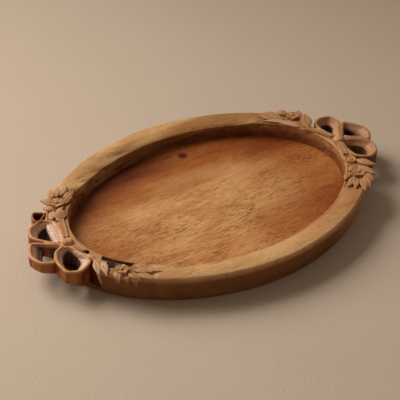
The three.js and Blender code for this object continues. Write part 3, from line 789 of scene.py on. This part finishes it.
# What is carved on each quarter, in millimetres from the middle of the tray, out and to the side. The
# quarters differ, as they do on a thing carved by hand. A leaf is its base, its tip, its width and what is
# its own, a flower or a scroll is its middle and radius, and a tail is its path and its widths. A leaf tip
# that hangs over the edge is its turn, its width, how low it ends, how far it stands out and how pale it is.
quarters = {
    "left_back": {
        "hand": 1,
        "tails": [([(171, 12), (167, 22), (163, 32), (160, 40)], (5.0, 5.6, 6.0))],
        "leaves": [
            ((139, 70), (121, 76), 6.5, {"bend": 0.04}),
            ((144, 61), (129, 67), 6, {"bend": -0.05}),
            ((139, 76), (125, 89), 7, {"bend": 0.03}),
            ((144, 76), (134, 90), 6.5, {"tip_rise": 2.4}),
            ((150, 76), (143, 91), 7.5, {"tip_rise": 2.2, "bend": 0.06}),
            ((155, 66), (160, 80), 8.5, {"tip_rise": 1.6, "bend": 0.1}),
            ((158, 58), (164, 68), 7, {"tip_rise": 0.6}),
        ],
        "raw_leaves": [
            ((163, 40), (151, 53), 13,
             {"widest": 0.5, "blunt": 0.45, "lift": 1.8, "rise": 1.0, "tip_rise": 1.2, "groove": 0.2,
              "pale": -0.2}),
            ((158, 52), (146, 58), 4.5, {"blunt": 0.3, "rise": 0.6, "tip_rise": 0.8}),
            ((168, 46), (158, 58), 7, {"blunt": 0.4, "rise": 0.6, "tip_rise": 0.6}),
        ],
        "flowers": [((149.5, 66), 7.5)],
    },
    "left_front": {
        "hand": -1,
        "tails": [([(171, 4), (170, 10), (168.5, 17)], (4.5, 4.8, 4.2))],
        "leaves": [
            ((140, 64), (129, 75), 6, {"bend": -0.05}),
            ((144, 70), (131, 83), 7, {"bend": 0.04}),
            ((146, 76), (133, 93), 7, {"tip_rise": 0.6}),
            ((152, 72), (146, 85), 7, {"tip_rise": 0.2, "bend": 0.05}),
            ((159, 62), (163, 73), 7, {"tip_rise": 0.2}),
            ((138, 72), (122, 86), 5.5, {"bend": 0.03, "rise": 1.0, "tip_rise": 0.8}),
        ],
        "hanging": [
            (30.2, 7, 17, 2.0, 0.4),
            (36.8, 7, 18.5, 2.0, 0.4),
            (33.6, 5.5, 21, 2.0, 0.4),
            # This thin tip is as pale as raw wood: partly raw wood, partly a painted highlight along its
            # edge.
            (22.9, 3.4, 9.5, 2.8, 1.0),
        ],
        "raw_leaves": [
            ((168, 23), (167, 34), 5.5, {"blunt": 0.4, "rise": 0.8, "tip_rise": 0.6}),
            ((167, 35), (174, 54), 8.5, {"widest": 0.55, "blunt": 0.3, "tip_rise": 0.0}),
            ((163, 42), (169, 60), 7.5, {"tip_rise": 0.4, "rise": 1.6, "roll": 0.15}),
        ],
        "flowers": [((154, 63), 7.0)],
    },
    "right_back": {
        "hand": 1,
        "tails": [([(171, 6), (167, 16), (162, 25), (157, 34)], (5.0, 5.4, 6.0))],
        "leaves": [
            ((160, 34), (171, 54), 12, {"tip_rise": 5.4, "rise": 1.2, "lift": 1.0}),
            ((148, 64), (131, 86), 15, {"blunt": 0.35, "widest": 0.55, "lift": 1.6, "tip_rise": 1.4}),
            ((164, 55), (172, 66), 7.5, {"tip_rise": 3.0}),
            ((157, 68), (152, 80), 8, {"tip_rise": 2.2}),
        ],
        "raw_leaves": [
            ((154, 40), (136, 64), 7.5, {"bend": -0.04, "rise": 1.0}),
            ((150, 52), (126, 73), 6.5, {"bend": -0.03}),
        ],
        "flowers": [((160, 62), 7.0)],
    },
    "right_front": {
        "hand": -1,
        "tails": [([(170, 8), (166, 18), (161, 30)], (4.8, 5.2, 5.4))],
        "leaves": [
            ((163, 45), (175, 64), 9, {"tip_rise": 1.0, "bend": 0.05}),
            ((157, 56), (163, 77), 9, {"tip_rise": 1.0, "bend": 0.04}),
            ((141, 61), (127, 68), 6, {"bend": 0.05}),
            ((140, 69), (122, 79), 6.5, {"bend": -0.04}),
            ((140, 74), (127, 86), 6, {"bend": 0.03}),
            ((144, 76), (134, 94), 7.5, {"tip_rise": 0.8}),
            ((150, 74), (142, 92), 7.5, {"tip_rise": 0.4}),
            ((154, 70), (152, 86), 8, {"tip_rise": 0.4, "bend": 0.04}),
        ],
        "raw_leaves": [
            ((152, 52), (143, 57), 5, {"rise": 0.8, "tip_rise": 0.6}),
        ],
        "flowers": [((148.5, 65.5), 7.5)],
        "scrolls": [((158, 41), 6.6)],
    },
}

# On the left front quarter a wedge of the wood was cut away and coloured dark, with a painted sheen along
# its middle, and a small pit by the ribbon's tail is painted dark as shade. The ground between the leaves is
# cut back a little everywhere.
pit_middle = (166.0, 18.5)
pit_radius = 2.6
pit_depth = 2.0
ground_depth = 1.1
wedge_corners = np.array([(156.5, 33), (137.5, 60), (145, 62), (154, 58.5), (161, 53), (164, 40)])


def inside(points, corners):
    """Whether each plan point lies inside an outline."""
    found = np.zeros(len(points), dtype=bool)
    for (ax, ay), (bx, by) in zip(corners, np.roll(corners, -1, axis=0)):
        if ay == by:
            continue
        crossing = (ay > points[:, 1]) != (by > points[:, 1])
        found ^= crossing & (points[:, 0] < (bx - ax) * (points[:, 1] - ay) / (by - ay) + ax)
    return found


def line_distance(points, start, end):
    """Distance of each plan point from a straight line between two places."""
    start = np.array(start, dtype=float)
    run = np.array(end, dtype=float) - start
    share = np.clip(((points - start) @ run) / (run @ run), 0, 1)
    return np.linalg.norm(points - start - share[:, None] * run, axis=1)


def carved_block(name, side, quarter_names):
    """Builds one end block with its carving, and notes how raw each place of the wood is, and how dark it is
    painted: painted shade on the cut-back ground, and a darker tone on some shapes.

    Each carved shape goes with how pale it is, from -1, dark, to 1, raw.
    """
    seat = np.linspace(-seat_turn + 0.05, seat_turn - 0.05, 100)
    front = np.linspace(-joint_turn, -seat_turn - 0.05, 120)
    turns = [(front, False), (seat, True), (-front[::-1], False)]
    points, faces = closed_skin(np.concatenate([block_section(part, seated) for part, seated in turns]))
    painted_shade_and_dark_tone, wedge_tone_and_pit_shade, painted_sheen = np.zeros((3, len(points)))
    on_top = points[:, 2] > tray_height - 0.05
    shapes = [(points, faces)]
    paleness = [np.zeros(len(points))]
    for quarter_name in quarter_names:
        quarter = quarters[quarter_name]
        hand = quarter["hand"]
        here = on_top & (points[:, 1] * hand > 0)
        plan = points[:, :2] * (1, hand)
        grounds = []
        for base, tip, width, *_ in quarter["leaves"] + quarter["raw_leaves"]:
            grounds.append((line_distance(plan, base, tip), width / 2 + 1.8))
        for middle, radius in quarter["flowers"]:
            grounds.append((np.linalg.norm(plan - middle, axis=1), radius + 1.5))
        for places, widths in quarter["tails"]:
            distance = np.min([line_distance(plan, *ends) for ends in zip(places, places[1:])], axis=0)
            grounds.append((distance, max(widths) / 2 + 1.2))
        sink = np.max([np.exp(-(distance / reach) ** 4) for distance, reach in grounds], axis=0)
        sink *= np.clip((joint_turn - turn_of(plan)) / 4, 0, 1)
        points[here, 2] -= ground_depth * sink[here]
        # The cut-back ground is also painted darker: painted shade between the carvings.
        painted_shade_and_dark_tone[here] = sink[here]
        if quarter_name == "left_front":
            cut = here & inside(plan, wedge_corners)
            slope = line_distance(plan, wedge_corners[0], wedge_corners[1])
            points[cut, 2] = tray_height - np.interp(slope[cut], (0, 5, 14), (3.4, 0.8, 3.2))
            # A painted sheen: a grey streak along the middle of the wedge.
            painted_sheen[cut] = np.exp(-((slope[cut] - 6.5) / 1.8) ** 2)
            pit = here & (np.linalg.norm(plan - pit_middle, axis=1) < pit_radius)
            points[pit, 2] -= pit_depth
            # The wedge is coloured dark, and the pit is painted dark as shade.
            wedge_tone_and_pit_shade[cut | pit] = 1
        parts = []
        for kind, broader, usual in (("leaves", 1.15, 0.1), ("raw_leaves", 1.0, 0.8)):
            for base, tip, width, *more in quarter[kind]:
                form = dict(*more)
                pale = form.pop("pale", usual)
                parts.append((leaf(base, tip, width * broader, **form), pale))
        parts += [(ribbon_strip(*tail), -0.6) for tail in quarter["tails"]]
        parts += [(part, 0.1) for spot in quarter["flowers"] for part in flower(*spot)]
        parts += [(scroll(*spot), 0.0) for spot in quarter.get("scrolls", [])]
        parts += [(hanging_tip(*tip), pale) for *tip, pale in quarter.get("hanging", [])]
        for (shape_points, shape_faces), pale in parts:
            shapes.append((shape_points * (1, hand, 1) + (0, 0, tray_height), shape_faces))
            paleness.append(np.full(len(shape_points), pale))
    whole, faces = joined(shapes)
    whole = whole * (side, 1, 1)
    piece = mesh_object(name, whole, faces, end_wood)
    outward_faces(piece.data)
    pale = np.concatenate(paleness)
    painted_shade_and_dark_tone, wedge_tone_and_pit_shade, painted_sheen = (np.pad(share, (0, len(pale) - len(share))) for share in (painted_shade_and_dark_tone, wedge_tone_and_pit_shade, painted_sheen))
    rim = rim_tones(whole)
    top = np.clip((whole[:, 2] - tray_height + 3.5) / 1.5, 0, 1)
    handled = top * np.clip((joint_turn - turn_of(whole[:, :2])) / 8, 0, 1) * (1 - rim["front"])
    note(piece.data, {"painted_shade_and_dark_tone": np.maximum(painted_shade_and_dark_tone, -pale), "raw": np.maximum(pale, 0), "wedge_tone_and_pit_shade": wedge_tone_and_pit_shade,
                      "painted_sheen": painted_sheen, "handled": handled, **rim})
    return piece


# Carved and lightly oiled hardwood: its grain runs across the tray. Cuts left raw are paler and pinker, and
# the ground between the leaves is painted darker as shade.
end_wood, tree, colour, shader, place = hardwood(
    "carved_oiled_hardwood", ("#BC8753", "#D29F67", "#E0B27C"), "#74492B", math.radians(90), 0.2, 0.52,
    (6.0, 0.75))
# Painted shade darkens the cut-back ground and the pit, and a painted sheen runs along the dark wedge.
carving_tones = [
    ("handled", "MULTIPLY", "#EBDDD5", 1.0),
    ("raw", "MIX", "#D8B197", 0.75, ((9, 9, 9), 0.6)),
    ("painted_shade_and_dark_tone", "MIX", "#9A6F4A", 0.45),
    ("wedge_tone_and_pit_shade", "MIX", "#331509", 0.97),
    ("painted_sheen", "MIX", "#7D716E", 0.6, ((5, 5, 5), 0.1)),
]
lay_tones(tree, colour, shader, rim_shade_and_tones + carving_tones)
wedge_and_pit_dullness = 0.48
wedge_and_pit_share = add(tree, "Attribute", attribute_name="wedge_tone_and_pit_shade").outputs["Fac"]
gloss = shader.inputs["Roughness"].links[0].from_socket
duller = add(tree, "Math", wedge_and_pit_share, wedge_and_pit_dullness, gloss, operation="MULTIPLY_ADD")
tree.links.new(duller.outputs[0], shader.inputs["Roughness"])

for block, side, block_quarters in (
    ("end_block_left", -1, ("left_back", "left_front")),
    ("end_block_right", 1, ("right_back", "right_front")),
):
    piece = carved_block(block + "_carved", side, block_quarters)
    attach(piece, "root")
    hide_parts(block)

# Bows: each is sawn and pierced from one block and carved as a tied ribbon. Its loops stand on edge. Their
# hollows narrow like funnels to holes that go right through, they meet behind a round knot, and the back of
# the block is glued to the end wall.
ribbon_thickness = 3.4
ribbon_edge_round = 1.2
funnel_depth = 6.5
facet_length = 6.5
facet_depth = 0.3
bow_root = rim_half_length - 10
bow_reach = 37.2
bow_spread = 0.34 * rim_half_width
bow_plate = 5.0
hub_diameter = 10.0
seat_gap = 0.3
loop_steps = 97
corner_sharpness = 0.3
knot_size = (12.0, 11.0, 3.4)
gouge_mm = 2.6
gouge_depth = 0.00045
carving_step = 0.00055

# "hole" is how large a loop's hole is, as shares of its mouth along the bow's line of cut and across it, and
# "shift" is how far it lies from the middle of the mouth, in millimetres out and to the back. "raw" is how
# much raw wood its funnel shows, and the hollow is painted dark as shade below "dark_from" millimetres.
# "knot" is where the bow's knot sits from its root, raw wood starts at "raw_from", "aged" is how much a
# loop's top is darkened, and each bow has a number for how much more painted shade its walls take.
bows = {
    "bow_left": {
        "side": -1, "offset": 4.0, "cut": (0.8, 0.6), "knot": (-4.4, 1.0),
        "raw_from": 0.5, "extra_darkening": 0.0,
        "loops": [
            {"hole": (0.62, 0.88), "shift": (-0.3, -0.2), "raw": 0.95, "dark_from": 5.5, "through": [
                (0.38, 0.35), (0.56, 0.61), (0.4, 0.91), (-0.05, 1), (-0.3, 0.8), (-0.22, 0.43)]},
            {"hole": (0.68, 1.0), "shift": (-4.9, -2.8), "raw": 0.55, "dark_from": 3.0, "through": [
                (0.35, -0.13), (0.59, -0.39), (0.89, -0.28), (1, 0.04), (0.73, 0.41), (0.4, 0.24)]},
            {"hole": (0.6, 0.9), "shift": (-0.6, 1.8), "raw": 0.95, "dark_from": 5.0, "through": [
                (-0.22, -0.43), (-0.19, -0.78), (0.22, -0.95), (0.54, -0.82), (0.54, -0.43), (0.35, -0.13)]},
            {"hole": (0.85, 0.85), "shift": (0, 0), "raw": 0.0, "dark_from": 0.6, "thickness": 2.4,
             "root": (-0.3, 1.2), "through": [(0, 1.03), (0.12, 1.09), (0.09, 1.24), (-0.05, 1.35)]},
        ],
        "straps": [
            {"through": [(0.04, 0.14), (-0.04, 0.45), (-0.16, 0.8)], "width": 8.0, "drop": 0.6, "raw": 1.15},
        ],
    },
    "bow_right": {
        "side": 1, "offset": -1.0, "cut": (0.8, -0.6), "knot": (-3.0, -2.2),
        "raw_from": -1.2, "extra_darkening": 0.8,
        "loops": [
            {"hole": (0.6, 0.66), "shift": (-1.2, 0.8), "raw": 0.05, "dark_from": 5.4, "aged": 0.3,
             "through": [
                (0.27, 0.3), (0.54, 0.56), (0.51, 0.87), (0.16, 0.95), (-0.13, 0.8), (-0.16, 0.43)]},
            {"hole": (0.5, 0.74), "shift": (-3.2, 2.9), "raw": 0.12, "dark_from": 4.2, "aged": 0.35,
             "through": [
                (0.38, -0.15), (0.7, -0.39), (0.94, -0.19), (0.985, 0.09), (0.67, 0.48), (0.32, 0.24)]},
            {"hole": (0.66, 0.66), "shift": (-1.2, 1.0), "raw": 0.05, "dark_from": 5.2, "dark": 0.7,
             "aged": 0.28, "through": [
                (-0.19, -0.39), (-0.19, -0.78), (0.13, -0.97), (0.48, -0.87), (0.65, -0.52), (0.38, -0.17)]},
        ],
        "straps": [
            {"through": [(0.12, 0.08), (0.3, 0.27), (0.55, 0.5)], "width": 7.0, "drop": 0.2, "raw": 0.15},
            {"through": [(0.12, -0.05), (0.4, -0.17), (0.68, -0.42)], "width": 7.5, "drop": 0.4, "raw": 0.3},
        ],
    },
}


def bow_places(bow, shares):
    """Plan points of a bow from shares of its reach and spread, before it is turned to its own end."""
    shares = np.array(shares, dtype=float)
    return shares * (bow_reach, bow_spread) + (bow_root, bow["offset"])


def loop_path(bow, loop):
    """Middle line of a loop's ribbon, from its root round and back, with soft corners like carved ones."""
    root = loop.get("root", (0, 0))
    places = bow_places(bow, [root, *loop["through"], root])
    curve = smooth_path(places, loop_steps)
    reached = np.linspace(0, len(places) - 1, loop_steps)
    straight = np.stack([np.interp(reached, range(len(places)), places[:, axis]) for axis in (0, 1)], axis=1)
    return (curve + (straight - curve) * corner_sharpness)[:-1]


def loop_outline(bow, loop, outside, narrowing=0.0):
    """A loop's outline at a distance outside its path, which narrows to its hole as narrowing goes to 1."""
    path = loop_path(bow, loop)
    before = path - np.roll(path, 1, axis=0)
    before /= np.linalg.norm(before, axis=1)[:, None]
    after = np.roll(before, -1, axis=0)
    out = np.stack([before[:, 1] + after[:, 1], -before[:, 0] - after[:, 0]], axis=1)
    out /= np.linalg.norm(out, axis=1)[:, None]
    mitre = np.maximum(0.5, out[:, 0] * before[:, 1] - out[:, 1] * before[:, 0])
    outside = np.broadcast_to(outside, len(path))
    grown = path + out * (outside / mitre)[:, None]
    middle = path.mean(axis=0)
    cut = np.array(bow["cut"])
    across = np.array((-cut[1], cut[0]))
    sizes = 1 + (np.array(loop["hole"]) - 1) * narrowing
    narrowed = np.outer((grown - middle) @ cut * sizes[0], cut)
    narrowed += np.outer((grown - middle) @ across * sizes[1], across)
    return middle + np.array(loop["shift"]) * narrowing + narrowed


def carved_loop(bow, loop):
    """One loop as a closed skin: faceted outer wall, rounded top edge, funnel and hole."""
    half = loop.get("thickness", ribbon_thickness) / 2
    edge = min(ribbon_edge_round, 0.8 * half)
    path = loop_path(bow, loop)
    steps = np.linalg.norm(np.roll(path, -1, axis=0) - path, axis=1)
    along = np.cumsum(steps) / facet_length
    facets = facet_depth * np.sin(np.pi * (along % 1))
    underside = under_bow(loop_outline(bow, loop, half)[:, 0]) + seat_gap
    rows = []
    for share in np.linspace(0, 1, 9):
        height = underside + share * (tray_height - edge - underside)
        rows.append(placed(loop_outline(bow, loop, half - facets * (1 - share ** 3)), height))
    for inset, fall in rounded(edge, (20, 40, 60, 78)):
        rows.append(placed(loop_outline(bow, loop, half - inset), tray_height - fall))
    for inset, fall in rounded(edge, (78, 60, 40, 20)):
        rows.append(placed(loop_outline(bow, loop, 0.8 * inset - half), tray_height - fall))
    for share in np.linspace(0, 1, 10):
        height = tray_height - edge - (funnel_depth - edge) * (1 - (1 - share) ** 1.7)
        rows.append(placed(loop_outline(bow, loop, -half, share), height))
    hole = loop_outline(bow, loop, -half, 1.0)
    for share in np.linspace(0, 1, 7)[1:]:
        top = tray_height - funnel_depth
        bottom = under_bow(hole[:, 0]) + seat_gap
        rows.append(placed(hole, top - 0.6 + (bottom - top + 0.6) * share))
    return closed_skin(np.stack(rows, axis=1), looped=True)


def strap_shape(bow, strap):
    """A broad flat turn of the ribbon between two loops, softly rounded along its edges."""
    path, side = path_and_side(bow_places(bow, strap["through"]), 24)
    top = tray_height - strap["drop"]
    profile = ((1.1, 8), (1.05, 3), (1, 1.2), (0.85, 0.4), (0.5, 0))
    profile += tuple((-place, fall) for place, fall in reversed(profile))
    rows = [placed(path - side * strap["width"] / 2 * place, top - fall) for place, fall in profile]
    return closed_skin(np.stack(rows, axis=1))


def bow_plate_shape():
    """The back of the bow along the end wall."""
    turns = np.linspace(-seat_turn + 0.2, seat_turn - 0.2, 60)
    width = outer_edge(turns) - well_edge(turns)
    inner = well_edge(turns) + width * (end_wall_across - 0.01)
    outer = well_edge(turns) + width * ((end_wall + bow_plate) / rim_width_end)
    rows = [
        placed(outer, under_bow(outer[:, 0]) + seat_gap),
        placed(outer, tray_height - 2.0),
        placed(outer + (inner - outer) * 0.3, tray_height - 0.6),
        placed(inner, tray_height - 0.5),
        placed(inner, under_bow(inner[:, 0]) + seat_gap),
    ]
    return closed_skin(np.stack(rows, axis=1))


def dome(middle, size):
    """A round knob: the knot of the bow, sunk in the wood below."""
    sunk = 6.0
    rings = [ring_points(middle, size[:2], tray_height - sunk)]
    for angle in np.radians(np.linspace(0, 86, 9)):
        width = np.array(size[:2]) * math.cos(angle) ** 0.6
        rings.append(ring_points(middle, width, tray_height + size[2] * math.sin(angle)))
    return closed_skin(rings)


def hub(bow):
    """The wood where the loops meet, under the knot."""
    heights = (under_bow(bow_root) + seat_gap, tray_height - 0.6)
    return closed_skin([ring_points((bow_root, bow["offset"]), hub_diameter, height) for height in heights])


# The same carved hardwood. Its walls below the top edges are painted darker and redder: painted shade, the
# more so on the right-hand bow. Its top edges keep the bright tan of the wood, the funnels inside the loops
# were never oiled, and the holes below them are painted dark as shade.
bow_wood, tree, colour, shader, place = hardwood(
    "pierced_oiled_hardwood", ("#BE7F4E", "#D89B66", "#E3B07A"), "#5E3418", math.radians(90), 0.2, 0.43,
    (6.0, 0.75))
lay_tones(tree, colour, shader, [
    ("painted_wall_shade", "MULTIPLY", "#CDA78E", 1.0),
    ("painted_wall_shade", "MULTIPLY", "#C69379", 1.0, ((14, 14, 60), 0.0)),
    ("extra_darkening", "MULTIPLY", "#92796A", 1.0),
    ("raw", "MIX", "#E8C7B2", 0.85, ((9, 9, 9), 0.6)),
    ("painted_shade_and_dark_tone", "MIX", "#38180B", 0.9),
])

for bow_name, bow in bows.items():
    shapes = [bow_plate_shape(), hub(bow), dome(np.add(bow["knot"], (bow_root, bow["offset"])), knot_size)]
    shapes += [carved_loop(bow, loop) for loop in bow["loops"]]
    shapes += [strap_shape(bow, strap) for strap in bow["straps"]]
    points, faces = joined(shapes)
    rough = mesh_object(bow_name + "_rough", points * (bow["side"], 1, 1), faces, bow_wood)
    outward_faces(rough.data)
    remesh = rough.modifiers.new("carve", "REMESH")
    remesh.mode = "VOXEL"
    remesh.voxel_size = carving_step
    remesh.use_smooth_shade = True
    relax = rough.modifiers.new("rub", "SMOOTH")
    relax.factor = 0.5
    relax.iterations = 3
    mesh = evaluated_mesh(bow_name + "_carved", rough)
    bpy.data.objects.remove(rough)
    places = points_of(mesh)
    local = places[:, :2] * (bow["side"], 1)
    below = tray_height - places[:, 2]
    raw, painted_shade_and_dark_tone, extra_darkening = np.zeros((3, len(places)))
    # The walls below the top edge are painted darker: painted shade.
    painted_wall_shade = np.clip((below - 0.6) / 2.2, 0, 1)
    for loop in bow["loops"]:
        within = inside(local, loop_outline(bow, loop, -0.3 * ribbon_thickness))
        raw[within] = loop["raw"] * np.clip((below[within] - bow["raw_from"]) / 1.5, 0, 1)
        # Deep in each hollow the wood is painted dark: painted shade in the hole.
        painted_shade_and_dark_tone[within] = loop.get("dark", 1) * np.clip((below[within] - loop["dark_from"]) / 2.5, 0, 1)
        painted_wall_shade[within] = 0
        extra_darkening[inside(local, loop_outline(bow, loop, ribbon_thickness / 2))] = loop.get("aged", 0)
        # The small loop is painted dark all round: painted shade.
        if "thickness" in loop:
            painted_wall_shade[inside(local, loop_outline(bow, loop, ribbon_thickness))] = 0.8
    for strap in bow["straps"]:
        for start, end in zip(strap["through"], strap["through"][1:]):
            start, end = bow_places(bow, (start, end))
            near = (line_distance(local, start, end) < 0.55 * strap["width"]) & (below > 0.3) & (below < 5)
            raw[near] = np.maximum(raw[near], strap["raw"])
            painted_wall_shade[near] = 0
    # Beside a loop's darker top, the walls of some bows take more painted shade.
    note(mesh, {"raw": raw, "painted_shade_and_dark_tone": painted_shade_and_dark_tone, "painted_wall_shade": painted_wall_shade, "extra_darkening": np.maximum(extra_darkening, painted_wall_shade * bow["extra_darkening"])})
    # Gouge marks: the raw hollows are uneven by a third of a millimetre.
    for vertex, normal, rawness in zip(mesh.vertices, mesh.vertex_normals, raw):
        if rawness > 0.2:
            vertex.co += normal.vector * rawness * gouge_depth * noise.noise(vertex.co * 1000 / gouge_mm)
    piece = new_object(bow_name + "_carved", mesh)
    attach(piece, "root")
    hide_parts(bow_name)

# Dowels: twelve fluted beech pins, glued into blind holes. Two cross each of the rim's four joints, and two
# hold each bow to its end wall. All of them are hidden once the tray is glued up.
rim_dowel = {"Diameter": 8.0, "Length": 36.0, "Flutes": 12, "Flute Depth": 0.35, "Chamfer": 1.5}
bow_dowel = {"Diameter": 5.0, "Length": 13.5, "Flutes": 8, "Flute Depth": 0.25, "Chamfer": 1.0}
rim_dowel_heights = {"lower": 8.5, "upper": 21.0}
rim_dowel_across = 0.47
bow_dowel_heights = {"lower": 18.8, "upper": 26.4}
bow_dowel_middle = 172.25

# The tree that turns one dowel: a rod with grooves along it and a taper at each end, laid in its place.
lathe, given = node_tree("fluted_dowel", {
    "Diameter": "Float", "Length": "Float", "Flutes": "Int", "Flute Depth": "Float", "Chamfer": "Float",
    "Heading": "Float", "Place": "Vector", "Wood": "Material"})
radius = add(lathe, "Math", given["Diameter"], 0.5, operation="MULTIPLY")
corners = add(lathe, "Math", given["Flutes"], 4.0, operation="MULTIPLY")
rod = add(lathe, "GeometryNodeMeshCylinder", fill_type="TRIANGLE_FAN", inputs={
    "Vertices": corners, "Side Segments": 24, "Radius": radius, "Depth": given["Length"]})
here = add(lathe, "GeometryNodeInputPosition")
here_split = add(lathe, "SeparateXYZ", here)
around = add(lathe, "Math", here_split.outputs["Y"], here_split.outputs["X"], operation="ARCTAN2")
waves = add(lathe, "Math", around, given["Flutes"], operation="MULTIPLY")
wave = add(lathe, "Math", waves, operation="COSINE")
hollow = add(lathe, "Math", wave, 0.0, operation="MAXIMUM")
groove = add(lathe, "Math", hollow, given["Flute Depth"], operation="MULTIPLY")
from_middle = add(lathe, "Math", here_split.outputs["Z"], operation="ABSOLUTE")
half_length = add(lathe, "Math", given["Length"], 0.5, operation="MULTIPLY")
taper_start = add(lathe, "Math", half_length, given["Chamfer"], operation="SUBTRACT")
past_start = add(lathe, "Math", from_middle, taper_start, operation="SUBTRACT")
taper = add(lathe, "Math", past_start, 0.0, operation="MAXIMUM")
cut_in = add(lathe, "Math", groove, taper, operation="ADD")
cut_share = add(lathe, "Math", cut_in, radius, operation="DIVIDE")
left_share = add(lathe, "Math", 1.0, cut_share, operation="SUBTRACT")
shrink = add(lathe, "CombineXYZ", inputs={"X": left_share, "Y": left_share, "Z": 1.0})
shrunk = add(lathe, "VectorMath", here, shrink, operation="MULTIPLY")
turned = add(lathe, "GeometryNodeSetPosition", inputs={"Geometry": rod.outputs["Mesh"], "Position": shrunk})
heading = add(lathe, "CombineXYZ", inputs={"Y": math.radians(90), "Z": given["Heading"]})
lying = add(lathe, "FunctionNodeEulerToRotation", heading)
laid = add(lathe, "GeometryNodeTransform", inputs={
    "Geometry": turned, "Translation": given["Place"], "Rotation": lying})
end_tree(lathe, laid, given["Wood"])

# Turned beech, left dry for the glue: pale and plain, with hardly any pores.
dowel_wood, tree, colour, shader, place = hardwood(
    "turned_dry_beech", ("#CDAE82", "#D9BD92", "#E4CCA6"), "#B08E63", 0.0, 0.08, 0.7, (3.0, 0.4))

dowels = []
for joint_name, turn in (("right_back", joint_turn), ("left_back", 180 - joint_turn),
                         ("left_front", 180 + joint_turn), ("right_front", -joint_turn)):
    before, middle, after = (
        well_edge(t) + (outer_edge(t) - well_edge(t)) * rim_dowel_across for t in (turn - 1, turn, turn + 1))
    heading = math.atan2(after[1] - before[1], after[0] - before[0])
    for level_name, height in rim_dowel_heights.items():
        dowels.append((f"rim_dowel_{joint_name}_{level_name}", rim_dowel, heading, (*middle, height)))
for side_name, side in (("left", -1), ("right", 1)):
    across_wall = (side * bow_dowel_middle, bows[f"bow_{side_name}"]["offset"])
    for level_name, height in bow_dowel_heights.items():
        dowels.append((f"bow_dowel_{side_name}_{level_name}", bow_dowel, 0.0, (*across_wall, height)))

for dowel_name, sizes, heading, middle in dowels:
    in_metres = {key: size if key == "Flutes" else size / 1000 for key, size in sizes.items()}
    piece = made_by_nodes(dowel_name + "_turned", bpy.data.meshes.new(dowel_name), lathe, {
        **in_metres,
        "Heading": heading,
        "Place": [value / 1000 for value in middle],
        "Wood": dowel_wood,
    })
    soften(piece.data)
    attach(piece, "root")
    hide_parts(dowel_name)
